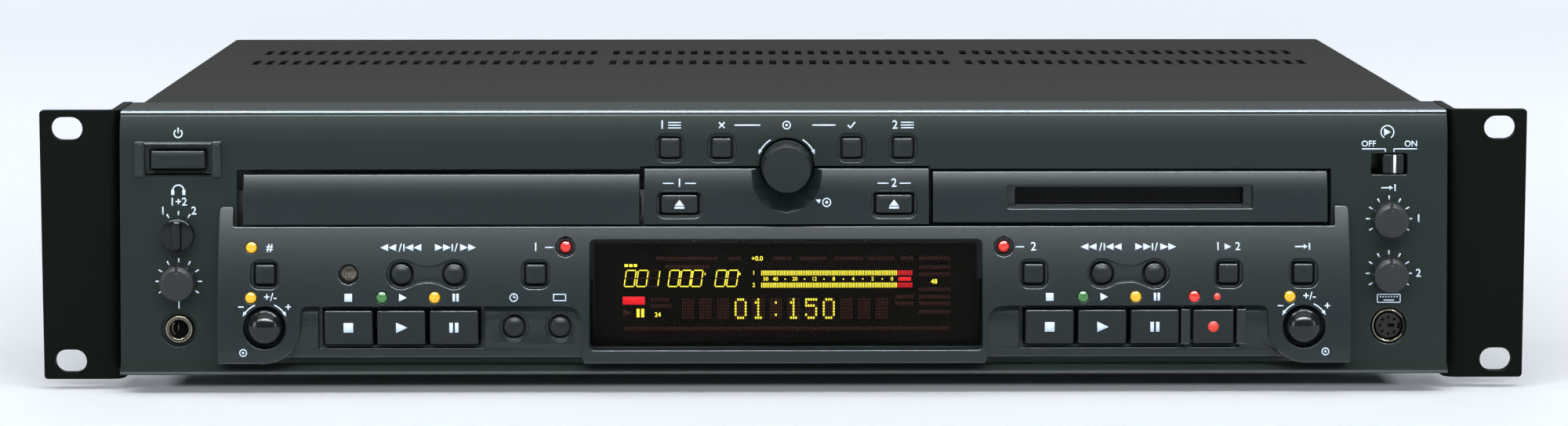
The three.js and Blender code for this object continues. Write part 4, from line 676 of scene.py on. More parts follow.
class DECK_OT_caps(DeckOperator):
    """Round the caps of the push buttons and transport keys"""
    bl_idname = "deck.caps"
    bl_label = "Caps"

    def execute(self, context):
        for node in CAP_BUTTONS + TRANSPORT_KEYS:
            skin = stacked(*middle_of(node), self.rings(node, context.scene.deck_sizes.cap_edge))
            stand_in("cap_" + node, node, skin, "cap satin")
        return {"FINISHED"}

    def rings(self, node, edge):
        """Rounded rectangles from the back: the plunger, the flange, the side, the edge, the face.

        The face's drop grows with the square of the way from its middle to its rim.
        """
        plunger, slack, hair, trim, least = (3.0, 3.0, 0.2), 0.04, 0.01, 0.02, 0.08
        x, out, up = points_of(node)
        tall = up > up.max() - hair
        flange_back, flange_front = out[tall].min(), out[tall].max()
        front = out > out.max() - hair
        width, height = np.ptp(x[front]), np.ptp(up[front])
        round_cap = "skip" in node or node in ("time_button", "display_button")
        corner = width / 2 - hair if round_cap else 0.7
        pillow = 0.05 if node in TRANSPORT_KEYS else 0.75 if round_cap else 0.4
        half = min(width, height) / 2
        soft = [(share * (half - edge) + edge, pillow * (1 - share) ** 2) for share in CROWN_SHARES]
        hard = [(inset, pillow + drop) for inset, drop in fillet(edge)]
        cap = [(width - 2 * inset - trim, height - 2 * inset - trim,
                np.clip(corner - inset, least, half - inset - trim), out.max() - drop)
               for inset, drop in soft + hard[1:]]
        flange = (np.ptp(x) - slack, np.ptp(up) - slack, 0.6)
        return [(*plunger, out.min()), (*plunger, flange_back), (*flange, flange_back),
                (*flange, flange_front), (width, height, corner, flange_front), *cap[::-1]]


class DECK_OT_knobs(DeckOperator):
    """Turn the knobs: grained cylinders, a gloss selector, the jog knob and two gloss balls"""
    bl_idname = "deck.knobs"
    bl_label = "Knobs"

    def execute(self, context):
        for node in TURNING_KNOBS:
            self.cylinder(node)
        self.jog()
        self.selector()
        for node in PITCH_KNOBS:
            self.ball(node)
        return {"FINISHED"}

    def cylinder(self, node):
        """A shaft, a straight side, a rounded edge, a low cone up to a flat face, and one notch."""
        radius, shaft, edge, length, rise, notch = 5.7, 2.5, 0.7, 6.0, 0.36, (0.35, 0.55, 0.4)
        out = points_of(node)[1]
        top, inner = out.max(), 0.74 * radius
        base = top - length
        profile = [(shaft, out.min()), (shaft, base), (radius - 0.2, base), (radius, base + 0.3)]
        profile += [(radius - inset, top - drop - rise) for inset, drop in fillet(edge, 6)][::-1]
        profile += [(r, top - rise * (r - inner) / (radius - edge - inner))
                    for r in np.linspace(radius - edge, inner, 5)[1:]]
        profile += [(r, top) for r in np.linspace(inner - 0.2, 0.3, 12)]
        width, share, deep = notch
        skin = turned(*middle_of(node), profile, notch=(width, radius * share, deep))
        stand_in("turned_" + node, node, skin, "knob grain")

    def jog(self):
        """A skirt, a side, a rounded edge, and a face that rises with the radius squared."""
        skirt_radius, radius, bore, edge, around = 8.3, 7.7, 3.3, 0.7, 120
        out = points_of("jog_knob")[1]
        base, top = out.min(), out.max()
        skirt = fronts_out(JOG_UP) + 2.0
        profile = [(bore, (base + top) / 2), (bore, base), (skirt_radius, base),
                   (skirt_radius, skirt - 0.7), (skirt_radius - 0.25, skirt - 0.2),
                   (radius + 0.1, skirt)]
        profile += [(radius - inset, top - drop) for inset, drop in fillet(edge, 6)][::-1]
        profile += [(r, top - 0.25 * (1 - (r / radius) ** 2))
                    for r in np.linspace(radius - edge, 0.3, 12)]
        stand_in("turned_jog_knob", "jog_knob", turned(JOG_X, JOG_UP, profile, around), "cap satin")

    def selector(self):
        """A turned dial, and a bar whose rectangles shrink along a quarter circle."""
        radius, grip, rise, shaft, depth = 5.35, 2.9, 2.2, 2.5, 3.2
        out = points_of("phones_selector")[1]
        top = out.max() - rise
        length = 2 * radius - 0.9
        profile = [(shaft, out.min()), (shaft, top - depth), (radius, top - depth)]
        profile += [(radius - inset, top - drop) for inset, drop in fillet(0.6)][::-1]
        profile.append((0.3, top))
        rings = [(grip - 2 * inset, length - 2 * inset, max(1.2 - inset, 0.1), out.max() - drop)
                 for inset, drop in fillet(1.1, 8)]
        rings += [(grip + 0.2, length, 0.7, top - 0.6)]
        dial, dial_faces = turned(-KNOB_COLUMN, SELECTOR_UP, profile)
        bar, bar_faces = stacked(-KNOB_COLUMN, SELECTOR_UP, rings[::-1])
        faces = dial_faces + [[index + len(dial) for index in face] for face in bar_faces]
        stand_in("turned_selector", "phones_selector", (np.concatenate([dial, bar]), faces),
                 "selector gloss")

    def ball(self, node):
        """A straight side below a quarter of an ellipse."""
        radius, share, bore = 5.9, 0.72, 3.3
        out = points_of(node)[1]
        base, top = out.min(), out.max()
        dome = (top - base) * share
        angle = np.linspace(0, math.pi / 2, 28)[:-1]
        profile = [(bore, (base + top) / 2), (bore, base), (radius, base)]
        profile += [(radius * math.cos(a), top - dome + dome * math.sin(a)) for a in angle]
        skin = turned(middle_of(node)[0], PITCH_UP, profile)
        stand_in("turned_" + node, node, skin, "ball gloss")


class DECK_OT_lamps(DeckOperator):
    """Put a domed lens on each lamp"""
    bl_idname = "deck.lamps"
    bl_label = "Lamps"

    def execute(self, context):
        radius, proud, sunk, root, around = 1.78, 0.95, 0.8, 1.5, 40
        angle = np.linspace(0, math.pi / 2, 12)[:-1]
        for name, x, up, hue, ringed in LAMPS:
            face = float(escutcheon_out(up)) - (sunk if ringed else 0)
            profile = [(radius, face - root)]
            profile += [(radius * math.cos(a), face + proud * math.sin(a)) for a in angle]
            finished(name, turned(x, up, profile, around), "lamp " + hue, ROOT)
        return {"FINISHED"}


class DECK_OT_sockets(DeckOperator):
    """Turn the metal rings of the two sockets and their dark insides; near-black discs in the bore
    and as the pin holes are painted shade
    """
    bl_idname = "deck.sockets"
    bl_label = "Sockets"

    def execute(self, context):
        self.phones()
        self.keyboard()
        return {"FINISHED"}

    def phones(self):
        """A turned collar, rounded on both sides, a near-black disc in its bore as painted shade,
        and a contact's glint.
        """
        x, up, ring, bore, lip = -KNOB_COLUMN, 14.5, 4.5, 3.05, 0.45
        length, floor, shade_back, shade_front, least = 8, 3.4, 3.0, 2.6, 0.05
        front = points_of("phones_jack")[1].max() + 0.06
        outer = [(ring - inset, front - drop) for inset, drop in fillet(lip, 6)][::-1]
        inner = [(bore + inset, front - drop) for inset, drop in fillet(lip, 6)]
        cone = [(bore + lip + 0.1, front - 0.1), (bore + lip + 0.12, front - 0.3)]
        profile = [(least, front - length), (ring, front - length), *outer, *cone, *inner,
                   (bore, front - floor), (least, front - floor)]
        finished("phones_ring", turned(x, up, profile), "bronze nickel", ROOT)
        # A near-black disc in the bore: painted shade.
        bore_shade = [(least, front - shade_back), (bore - 0.1, front - shade_back),
                (bore - 0.1, front - shade_front), (least, front - shade_front)]
        finished("phones_bore_shade", turned(x, up, bore_shade, 48), "painted hole shade", ROOT)
        glint = Marks()
        glint.line([(x - 0.5, up - 1.2), (x - 0.5, up + 1.6)], 0.35)
        glint.arc(x, up, bore - 0.55, 130, 235, 0.4)
        glint.printed("phones_contact", level(front - shade_front + 0.05), "bronze nickel", ROOT)

    def keyboard(self):
        """A chamfered section carried round an arc that is open at one side, and a turned core."""
        x, up, outer, inner, gap, depth, chamfer = KNOB_COLUMN, 15.1, 5.4, 4.8, 32, 2.0, 0.15
        front = points_of("keyboard_socket")[1].max() + 0.12
        angle = np.radians(np.linspace(gap, 360 - gap, 73))[:, None]
        radius, out = np.array([
            (inner, -depth), (outer, -depth), (outer, -chamfer), (outer - chamfer, 0),
            (inner + chamfer, 0), (inner, -chamfer)]).T
        ring = to_world(x + radius * np.cos(angle), up + radius * np.sin(angle), front + out)
        skin = (ring, ring_faces(len(angle), len(radius)))
        finished("keyboard_ring", skin, "bronze nickel", ROOT)
        core, floor, least = 4.05, front - 0.47, 0.05
        edge = [(core - inset, floor - drop) for inset, drop in fillet(0.3)][::-1]
        profile = [(least, floor - depth), (core, floor - depth), *edge, (least, floor)]
        finished("keyboard_core", turned(x, up, profile, 64), "core plastic", ROOT)
        # The pin holes are near-black flat shapes on the core: painted shade.
        hole_shades, pin, circle = Marks(), 0.46, 2.7
        turn = np.radians((90, 135, 180, 225, 270))
        pins = [*zip(circle * np.cos(turn), circle * np.sin(turn)), (1.9, 2.1), (1.9, -2.1)]
        for across, along in pins:
            hole_shades.disc(x + across, up + along, pin)
        hole_shades.box(x + 0.9, up + 0.1, 2.2, 1.1)
        hole_shades.box(x + 3.4, up, 0.8, 1.9)
        hole_shades.printed("keyboard_hole_shades", level(floor), "painted hole shade", ROOT)


class DECK_OT_fittings(DeckOperator):
    """Round the cheeks of the power button's bezel and rib the slide switch"""
    bl_idname = "deck.fittings"
    bl_label = "Fittings"

    def execute(self, context):
        self.bezel()
        self.switch()
        return {"FINISHED"}

    def bezel(self):
        """Upright cheeks whose rectangles shrink along a quarter circle."""
        spread, width, height, proud, edge, corner = 12.5, 3.1, 11.5, 1.4, 1.25, 0.6
        front = float(panel_out(POWER_UP)) + proud
        rings = [(width - 2 * inset - 0.02, height - 2 * inset, max(corner - inset, 0.05),
                  front - drop) for inset, drop in fillet(edge, 8)]
        rings.append((width, height, corner, front - 3))
        for name, side in (("left", -1), ("right", 1)):
            skin = stacked(-KNOB_COLUMN + side * spread, POWER_UP, rings[::-1])
            finished("bezel_cheek_" + name, skin, "escutcheon satin", ROOT)

    def switch(self):
        """Upright ribs with rounded edges, and a white line printed between them."""
        middle, centre_up = middle_of("slide_switch_cap")
        front, body = points_of("slide_switch_cap")[1].max(), BODY_OF["slide_switch_cap"]
        height, rib, proud, root, edge = 5.9, 0.55, 0.35, 0.3, 0.2
        rings = [(rib - 2 * inset, height - 2 * inset, max(edge - inset, 0.03),
                  front + proud - drop) for inset, drop in fillet(edge)]
        rings.append((rib, height, edge, front - root))
        for index, offset in enumerate((-2.7, -1.8, -0.9, 1.8, 2.7)):
            skin = stacked(middle + offset, centre_up, rings[::-1])
            finished(f"switch_rib_{index}", skin, "cap satin", body)
        line = Marks()
        line.box(middle + 0.45, centre_up, 0.85, height)
        line.printed("switch_line", level(front), "print white", body)


def level(out):
    """A flat face that stands out equally far at every height."""
    return lambda up: out + 0 * up


def on_circle(x, up, radius, angle):
    """Points on a circle, at angles from the right, counter-clockwise."""
    return np.stack([x + radius * np.cos(angle), up + radius * np.sin(angle)], axis=-1)


class Marks:
    """Flat shapes in X and up, in mm, gathered for one print."""

    def __init__(self):
        self.points, self.faces, self.count = [], [], 0

    def add(self, points, faces):
        """Keep points, and faces whose numbers go on from what is there."""
        points = np.asarray(points, dtype=float).reshape(-1, 2)
        self.points.append(points)
        self.faces += [[index + self.count for index in face] for face in faces]
        self.count += len(points)

    def polygon(self, points):
        """One convex face, counter-clockwise."""
        self.add(points, [list(range(len(points)))])

    def box(self, x, up, width, height):
        """An upright rectangle around its middle."""
        half = np.array([width, height]) / 2
        self.polygon(np.array([x, up]) + half * [[-1, -1], [1, -1], [1, 1], [-1, 1]])

    def line(self, points, width):
        """A ribbon: each point is moved half the width to both sides, square to its neighbours."""
        points = np.asarray(points, dtype=float)
        along = np.gradient(points, axis=0)
        along /= np.linalg.norm(along, axis=1)[:, None]
        side = np.stack([-along[:, 1], along[:, 0]], axis=-1) * width / 2
        n = len(points)
        i = np.arange(n - 1)
        self.add(np.concatenate([points + side, points - side]),
                 np.stack([i, n + i, n + i + 1, i + 1], axis=-1).tolist())

    def lines(self, ends, width):
        """A ribbon between each two ends."""
        for start, end in ends:
            self.line([start, end], width)

    def arc(self, x, up, radius, start, end, width, steps=14):
        """A ribbon along a part of a circle."""
        self.line(on_circle(x, up, radius, np.radians(np.linspace(start, end, steps))), width)

    def disc(self, x, up, radius, steps=20):
        """A circle's points as one face."""
        self.polygon(on_circle(x, up, radius, np.arange(steps) * 2 * math.pi / steps))

    def push_dot(self, x, up, radius, dot, width):
        """The symbol for a push: a dot in a ring."""
        self.arc(x, up, radius, 0, 360, width, 24)
        self.disc(x, up, dot)

    def input_arrow(self, x, up, tail, width):
        """The symbol for an input: an arrow against a bar."""
        self.line([(x - tail, up), (x, up)], width)
        self.triangle(x + 0.3, up, 1.3, 1.5)
        self.box(x + 1.5, up, width, 2.2)

    def triangle(self, x, up, width, height, degrees=0):
        """Points to the right, turned by an angle."""
        turn = math.radians(degrees)
        shape = np.array([[width / 2, 0], [-width / 2, height / 2], [-width / 2, -height / 2]])
        spin = np.array([[math.cos(turn), math.sin(turn)], [-math.sin(turn), math.cos(turn)]])
        self.polygon(np.array([x, up]) + shape @ spin)

    def ticks(self, x, up, near, far, degrees, width):
        """Ribbons from a near to a far radius, at angles from upright, clockwise."""
        for angle in np.radians(degrees):
            way = np.array([math.sin(angle), math.cos(angle)])
            self.line(np.array([x, up]) + np.array([[near], [far]]) * way, width)

    def arrow_arc(self, x, up, radius, start, end, width):
        """An arc with an arrowhead at its end."""
        self.arc(x, up, radius, start, end, width)
        turn = math.radians(end)
        ahead = end + math.copysign(90, end - start)
        self.triangle(x + radius * math.cos(turn), up + radius * math.sin(turn), 1.6, 1.2, ahead)

    def text(self, words, x, up, size):
        """Characters in the built-in face, centred."""
        curve = bpy.data.curves.new("characters", "FONT")
        curve.body, curve.size, curve.align_x, curve.align_y = words, size, "CENTER", "CENTER"
        curve.offset = 0.012 * size
        holder = bpy.data.objects.new("characters", curve)
        mesh = bpy.data.meshes.new_from_object(holder)
        points = corners(mesh)[0][:, :2] + [x, up]
        self.add(points, [list(face.vertices) for face in mesh.polygons])
        bpy.data.objects.remove(holder)
        bpy.data.meshes.remove(mesh)
        bpy.data.curves.remove(curve)

    def printed(self, name, face, material, body):
        """Lay the shapes just in front of a face, with the thickness of a print."""
        sizes = bpy.context.scene.deck_sizes
        x, up = np.concatenate(self.points).T
        skin = (to_world(x, up, face(up) + sizes.lift), self.faces)
        thick = finished(name, skin, material, body).modifiers.new("print", "SOLIDIFY")
        thick.thickness = sizes.print_thickness * MM
        thick.offset = -1


class DECK_OT_markings(DeckOperator):
    """Print the ticks, lines, arrows, numbers and symbols of the front"""
    bl_idname = "deck.markings"
    bl_label = "Markings"

    def execute(self, context):
        self.stroke = context.scene.deck_sizes.stroke
        self.thin, self.fine = 0.8 * self.stroke, 0.7 * self.stroke
        marks = Marks()
        for draw in (self.knobs, self.power_and_phones, self.keyboard, self.switch, self.menu):
            draw(marks)
        marks.printed("panel_markings", panel_out, "print blue", ROOT)
        self.centre()
        self.escutcheon()
        self.keys()
        return {"FINISHED"}

    def knobs(self, marks):
        """Ticks and numbers around the selector, the volume knob and the input knobs."""
        near, far, size = 6.1, 7.5, 3.6
        for x, up in ((-KNOB_COLUMN, VOLUME_UP), *((KNOB_COLUMN, up) for up in INPUT_UPS)):
            marks.ticks(x, up, near, far, range(-120, 121, 30), self.stroke)
        marks.ticks(-KNOB_COLUMN, SELECTOR_UP, near, far, (-30, 0, 30), self.stroke)
        marks.line([(-KNOB_COLUMN, 21.2), (-KNOB_COLUMN, 24.0)], self.stroke)
        for (number, side), input_up in zip(NUMBERED, INPUT_UPS):
            marks.text(number, -KNOB_COLUMN + side * 5.0, SELECTOR_UP + 7.5, size)
            marks.text(number, KNOB_COLUMN + 9.6, input_up, size)
        marks.text("1+2", -KNOB_COLUMN, SELECTOR_UP + 10.4, size)
        marks.input_arrow(KNOB_COLUMN + 0.4, INPUT_UPS[0] + 10, 3.0, self.stroke)

    def power_and_phones(self, marks):
        """A broken ring with a stroke, and two ear cups under a bow."""
        x, power_up, phones_up, cups = -KNOB_COLUMN, 77.7, 59.3, 1.8
        marks.arc(x, power_up, 1.3, 125, 415, self.stroke)
        marks.line([(x, power_up + 0.1), (x, power_up + 1.9)], self.stroke)
        marks.arc(x, phones_up, cups, 0, 180, self.stroke)
        for side in (-1, 1):
            marks.box(x + side * cups, phones_up - 0.6, 1.0, 1.7)

    def keyboard(self, marks):
        """A frame, a row of keys and a long key."""
        x, up, half_width, half_height, key = KNOB_COLUMN, 24.0, 3.7, 1.3, 0.45
        low, high = up - half_height, up + half_height
        left, right = x - half_width, x + half_width
        marks.lines([((left, low), (right, low)), ((left, low), (left, high)),
                     ((left, high), (right, high)), ((right, low), (right, high))], self.fine)
        for column in np.linspace(-2.7, 2.7, 7):
            marks.box(x + column, up + 0.55, key, key)
        marks.box(x, up - 0.55, 3.4, key)

    def switch(self, marks):
        """OFF and ON on two brackets, and an arrowhead in a broken ring."""
        line_up, drop, text_up, size = 72.4, 1.0, 74.0, 2.7
        arrow_x, arrow_up = KNOB_COLUMN - 0.6, 77.8
        left, left_end, right, right_end = 187.2, 194.8, 197.6, 205.1
        for start, end, hook in ((left, left_end, left_end), (right, right_end, right)):
            marks.lines([((start, line_up), (end, line_up)),
                         ((hook, line_up), (hook, line_up - drop))], self.thin)
        marks.text("OFF", left + 2.2, text_up, size)
        marks.text("ON", right_end - 2.0, text_up, size)
        marks.triangle(arrow_x, arrow_up, 2.2, 2.4)
        marks.arc(arrow_x, arrow_up, 2.1, -60, 240, self.thin)

    def menu(self, marks):
        """A cross, a tick and lists over the menu buttons, and arrows around the jog knob."""
        up, reach, around = MENU_LABEL_UP, 0.9, 9.8
        cross, tick = JOG_X - INNER_MENU, JOG_X + INNER_MENU
        marks.push_dot(JOG_X, up, 1.2, 0.4, self.thin)
        marks.arrow_arc(JOG_X, JOG_UP, around, 122, 154, self.stroke)
        marks.arrow_arc(JOG_X, JOG_UP, around, 58, 26, self.stroke)
        marks.lines([
            ((-16.2, up), (-7.8, up)), ((9.0, up), (16.6, up)),
            ((cross - reach, up + reach), (cross + reach, up - reach)),
            ((cross - reach, up - reach), (cross + reach, up + reach)),
            ((tick - 1.2, up), (tick - 0.3, up - 0.9)),
            ((tick - 0.42, up - 0.95), (tick + 1.2, up + 1.0)),
        ], self.stroke)
        for number, side in NUMBERED:
            x = JOG_X + side * OUTER_MENU
            marks.text(number, x - 2.6, up, 3.8)
            for row in (-0.85, 0, 0.85):
                marks.box(x + 1.4, up + row, 4.2, self.thin)

    def centre(self):
        """A number between dashes over each eject button, and a push symbol by the jog knob."""
        marks, label_up, near, far = Marks(), EJECT_UP + 6.7, 1.8, 5.4
        for number, side in NUMBERED:
            x = JOG_X + side * EJECT_SPREAD
            marks.text(number, x, label_up, 3.8)
            for way in (-1, 1):
                marks.line([(x + way * near, label_up), (x + way * far, label_up)], self.thin)
        push_x, push_up = 13.6, 55.6
        marks.push_dot(push_x, push_up, 1.3, 0.5, self.thin)
        marks.triangle(push_x - 2.9, push_up + 0.6, 1.6, 1.5, 155)
        marks.printed("centre_markings", front_faces("centre_plate")[1], "print blue", ROOT)

    def escutcheon(self):
        """Prints around the pitch knobs, beside the lamps and over the small buttons."""
        marks, size = Marks(), 3.6
        for side in (-1, 1):
            self.pitch(marks, side * PITCH_COLUMN, side)
        for first in (LEFT_PLAY, RIGHT_PLAY):
            self.skip(marks, first - 0.4, -1)
            self.skip(marks, first + KEY_PITCH + 0.6, 1)
            self.states(marks, first)
        for number, side in NUMBERED:
            marks.text(number, side * SOURCE_X, LAMP_ROW, 3.8)
            marks.box(side * (SOURCE_X - 4.4), LAMP_ROW, 2.8, self.thin)
            marks.text(number, DUBBING_X + side * 3.2, LAMP_ROW, size)
        marks.triangle(DUBBING_X, LAMP_ROW, 2.2, 2.0)
        marks.text("#", -PITCH_COLUMN + 1.4, LAMP_ROW, size)
        marks.input_arrow(PITCH_COLUMN + 0.6, LAMP_ROW, 3.2, self.stroke)
        marks.arc(TIME_X, STATE_ROW, 1.2, 0, 360, self.fine, 24)
        marks.lines([((TIME_X, STATE_ROW + 0.8), (TIME_X, STATE_ROW)),
                     ((TIME_X, STATE_ROW), (TIME_X + 0.7, STATE_ROW))], self.fine)
        for row in (-1.0, 1.0):
            marks.box(DISPLAY_KEY_X, STATE_ROW + row, 4.2, self.fine)
            marks.box(DISPLAY_KEY_X + row * 1.95, STATE_ROW, self.fine, 2.2)
        marks.printed("escutcheon_markings", escutcheon_curve, "print blue", ROOT)
        red = Marks()
        red.disc(RECORD_X + 1.2, STATE_ROW, 1.1)
        red.printed("record_marking", escutcheon_curve, "print red", ROOT)

    def pitch(self, marks, x, side):
        """Two arrows, a minus, a plus, a push symbol below, and +/- above."""
        line, around, sign_x, sign_up, sign = 0.9 * self.stroke, 7.9, 7.6, PITCH_UP + 6.7, 1.8
        marks.arrow_arc(x, PITCH_UP, around, 113, 147, line)
        marks.arrow_arc(x, PITCH_UP, around, 67, 33, line)
        marks.box(x - sign_x, sign_up, sign, line)
        marks.box(x + sign_x, sign_up, sign, line)
        marks.box(x + sign_x, sign_up, line, sign)
        marks.text("+/-", x + 1.8, STATE_ROW + 0.1, 3.6)
        marks.push_dot(x + side * 6.9, PITCH_UP - 8.0, 1.1, 0.4, self.thin)

    def skip(self, marks, x, way):
        """Two arrows, a slash, and two arrows against a bar, pointing one way."""
        turned_by, side, height, spread = 0 if way > 0 else 180, 2.6, 2.2, 3.9
        fast, track = x + way * spread, x - way * spread
        for step in (-0.5, 0.5):
            marks.triangle(fast + step * side, LAMP_ROW, side, height, turned_by)
            marks.triangle(track + step * side - way * 0.3, LAMP_ROW, side, height, turned_by)
        marks.box(track + way * (side + 0.1), LAMP_ROW, self.stroke, height)
        marks.line([(x - 0.4, LAMP_ROW - 1.3), (x + 0.4, LAMP_ROW + 1.3)], self.thin)

    def states(self, marks, first):
        """Small stop, play and pause symbols beside the lamps."""
        small = 2.5
        marks.box(first - KEY_PITCH, STATE_ROW, small, small)
        marks.triangle(first + 0.6, STATE_ROW, small, small)
        for bar in (-0.6, 0.6):
            marks.box(first + KEY_PITCH + 0.6 + bar, STATE_ROW, 0.8, small)

    def keys(self):
        """The symbol on each transport key and eject button."""
        for node in [*TRANSPORT_KEYS, "open_close_button", "eject_button"]:
            kind = node.split("_")[1] if node in TRANSPORT_KEYS else "eject"
            marks, (x, up) = Marks(), middle_of(node)
            if kind == "stop":
                marks.box(x, up, 3.1, 3.1)
            elif kind == "play":
                marks.triangle(x + 0.2, up, 3.7, 3.4)
            elif kind == "ready":
                for bar in (-0.9, 0.9):
                    marks.box(x + bar, up, 1.15, 3.2)
            elif kind == "record":
                marks.disc(x, up, 1.75, 28)
            else:
                marks.triangle(x, up + 0.45, 2.0, 3.2, 90)
                marks.box(x, up - 1.15, 3.2, 0.7)
            marks.printed("symbol_" + node, level(points_of(node)[1].max()),
                          "print red" if kind == "record" else "print blue", BODY_OF[node])


class DECK_OT_display(DeckOperator):
    """Draw the lit and unlit segments behind the lens"""
    bl_idname = "deck.display"
    bl_label = "Display"

    def execute(self, context):
        self.lit, self.red, self.unlit = Marks(), Marks(), Marks()
        starts = (-52.1, -48.2, -44.4, -37.9, -34.1, -30.4, -22.7, -18.9)
        for start, digit in zip(starts, "00100000"):
            self.segments(start, 27.7, digit)
        self.bars()
        self.legends()
        for cell, glyph in enumerate("   01:150   "):
            self.matrix(-33.1 + cell * 5.73, 17.4, glyph)
        front = points_of("display_module")[1].max()
        # The unlit segments' faint glow is painted light.
        self.unlit.printed("unlit_segments", level(front), "segment unlit", ROOT)
        for name, marks in (("lit", self.lit), ("red", self.red)):
            marks.printed(name + "_segments", level(front + 0.08), "segment " + name, ROOT)
        return {"FINISHED"}

    def segments(self, x, up, digit):
        """Seven leaning strokes: top, two upper, middle, two lower, bottom."""
        width, height, half, lean, thick, gap = 3.2, 5.3, 5.3 / 2, 0.15, 0.36, 0.22
        shown = {"0": (0, 1, 2, 4, 5, 6), "1": (2, 5)}[digit]
        ends = (((0, height), (width, height)), ((0, half), (0, height)),
                ((width, half), (width, height)), ((0, half), (width, half)),
                ((0, 0), (0, half)), ((width, 0), (width, half)), ((0, 0), (width, 0)))
        for index, (start, end) in enumerate(ends):
            a, b = np.array(start, dtype=float), np.array(end, dtype=float)
            along = (b - a) / np.linalg.norm(b - a)
            line = np.array([a + along * gap, b - along * gap])
            line[:, 0] += line[:, 1] * lean
            (self.lit if index in shown else self.unlit).line(line + [x, up], thick)

    def bars(self):
        """Two level bars of thin strokes, red past the end, and their scale between them."""
        start, end, over, pitch, scale_up = -7.6, 36.6, 41.3, 0.56, 30.1
        for up in (32.1, 28.1):
            for x in np.arange(start, over, pitch):
                (self.lit if x < end else self.red).box(x + 0.2, up, 0.3, 1.6)
        numbers = ("50", "40", "", "20", "", "12", "", "8", "", "4", "", "2", "", "0")
        for x, number in zip(np.linspace(-6.1, 34.9, len(numbers)), numbers):
            if number:
                self.lit.text(number, x, scale_up, 1.7)
            else:
                self.lit.disc(x, scale_up, 0.26, 8)
        self.red.box((end + over) / 2 + 0.1, scale_up, over - end - 0.6, 1.2)
        for number, up in (("1", 32.1), ("2", 28.1)):
            self.lit.text(number, start - 2.4, up, 1.9)

    def legends(self):
        """Rows of short dashes where unlit legends lie, and the few small lit ones."""
        dash, gap, top = 0.62, 0.24, 36.8
        rows = [(-41.5, -21.8, top), (-18.3, -14.2, top), (-3.6, 2.4, top), (5.0, 13.6, top),
                (16.2, 24.8, top), (27.3, 35.5, top), (37.7, 41.5, top), (36.0, 41.5, 24.2),
                (36.0, 41.5, 22.0), (-43.4, -37.8, 23.3), (-43.4, -37.0, 21.2),
                (-38.8, -25.0, 34.1), (-52.0, 53.0, 13.8)]
        rows += [(43.7, 53.5, up) for up in (top, 33.9, 31.6, 26.7, 24.2, 22.0, 19.2)]
        for start, end, up in rows:
            for x in np.arange(start, end, dash + gap):
                self.unlit.box(x + dash / 2, up, dash, 1.2)
        self.red.box(-49.0, 23.1, 7.2, 2.6)
        self.unlit.triangle(-51.0, 19.0, 2.8, 2.6)
        for x in (-47.6, -46.1):
            self.lit.box(x, 19.0, 0.95, 2.8)
        for x in (-51.4, -49.9, -48.4):
            self.lit.box(x, 34.6, 1.1, 0.9)
        for words, x, up, size in (
                ("+0.0", -8.9, top, 2.1), ("'", -25.8, 30.9, 3.0), ('"', -14.7, 30.9, 3.0),
                ("48", 48.6, 29.2, 2.1), ("24", -41.2, 18.4, 2.1)):
            self.lit.text(words, x, up, size)

    def matrix(self, x, up, glyph):
        """Five by seven dots; each row, from the top, is a number whose bits are its dots."""
        rows_of = {
            "0": (14, 17, 17, 17, 17, 17, 14), "1": (4, 12, 4, 4, 4, 4, 14),
            "5": (31, 16, 30, 1, 1, 17, 14), ":": (0, 4, 0, 0, 0, 4, 0), " ": (0,) * 7,
        }
        pitch_x, pitch_up, dot = 0.82, 1.0, 0.56
        for row, bits in enumerate(rows_of[glyph]):
            for column in range(5):
                marks = self.lit if bits >> (4 - column) & 1 else self.unlit
                marks.box(x + column * pitch_x, up + (6 - row) * pitch_up, dot, dot * 1.25)


class DECK_OT_screws(DeckOperator):
    """Set cross-head screws in the front, the sides and the back"""
    bl_idname = "deck.screws"
    bl_label = "Screws"

    def execute(self, context):
        floor = float(escutcheon_out(SQUARE_ROW + 3.3)) - 1.6
        place = to_world(SCREW_X, SQUARE_ROW, floor)
        self.screw("front_screw", place, "XZy", 2.6, 1.0, "dark screw")
        low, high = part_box("top_cover")
        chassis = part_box("chassis_tray")[1]
        wall, side_up, rear_up = chassis[0] + 1.3 * MM, PANEL_FOOT + 9 * MM, PANEL_FOOT + 77 * MM
        for name, side, axes in (("left", -1, "yZx"), ("right", 1, "YZX")):
            for index, share in enumerate((0.12, 0.5, 0.9)):
                place = (side * wall, low[1] + share * (high[1] - low[1]), side_up)
                self.screw(f"side_screw_{name}_{index}", place, axes, 3.0, 1.4, "zinc sheet")
        for index, x in enumerate((-200, -66, 66, 200)):
            place = (x * MM, chassis[1], rear_up)
            self.screw(f"rear_screw_{index}", place, "xZY", 2.8, 1.3, "dark screw")
        return {"FINISHED"}

    def screw(self, name, place, axes, radius, height, material):
        """A dome that falls with the radius squared, with the arms of a cross pressed in."""
        directions = {"X": (1, 0, 0), "Y": (0, 1, 0), "Z": (0, 0, 1)}
        right, upward, outward = (
            np.array(directions[axis.upper()]) * (1.0 if axis.isupper() else -1.0) for axis in axes)
        around, rings, fall, recess = 64, 18, 0.35, 0.6
        angle = np.arange(around) * 2 * math.pi / around
        span = np.concatenate([[1, 1], np.linspace(0.96, 0.04, rings - 2)])[:, None] * radius
        u, v = span * np.cos(angle), span * np.sin(angle)
        arm, reach = 0.14 * radius, 0.56 * radius
        upright = (np.abs(u) < arm) & (np.abs(v) < reach)
        level_arm = (np.abs(v) < arm) & (np.abs(u) < reach)
        rise = height * (1 - fall * (span / radius) ** 2 - recess * (upright | level_arm))
        rise[0] = 0
        offsets = u[..., None] * right + v[..., None] * upward + rise[..., None] * outward
        skin = (np.asarray(place) + MM * offsets, ring_faces(rings, around))
        finished(name, skin, material, ROOT)


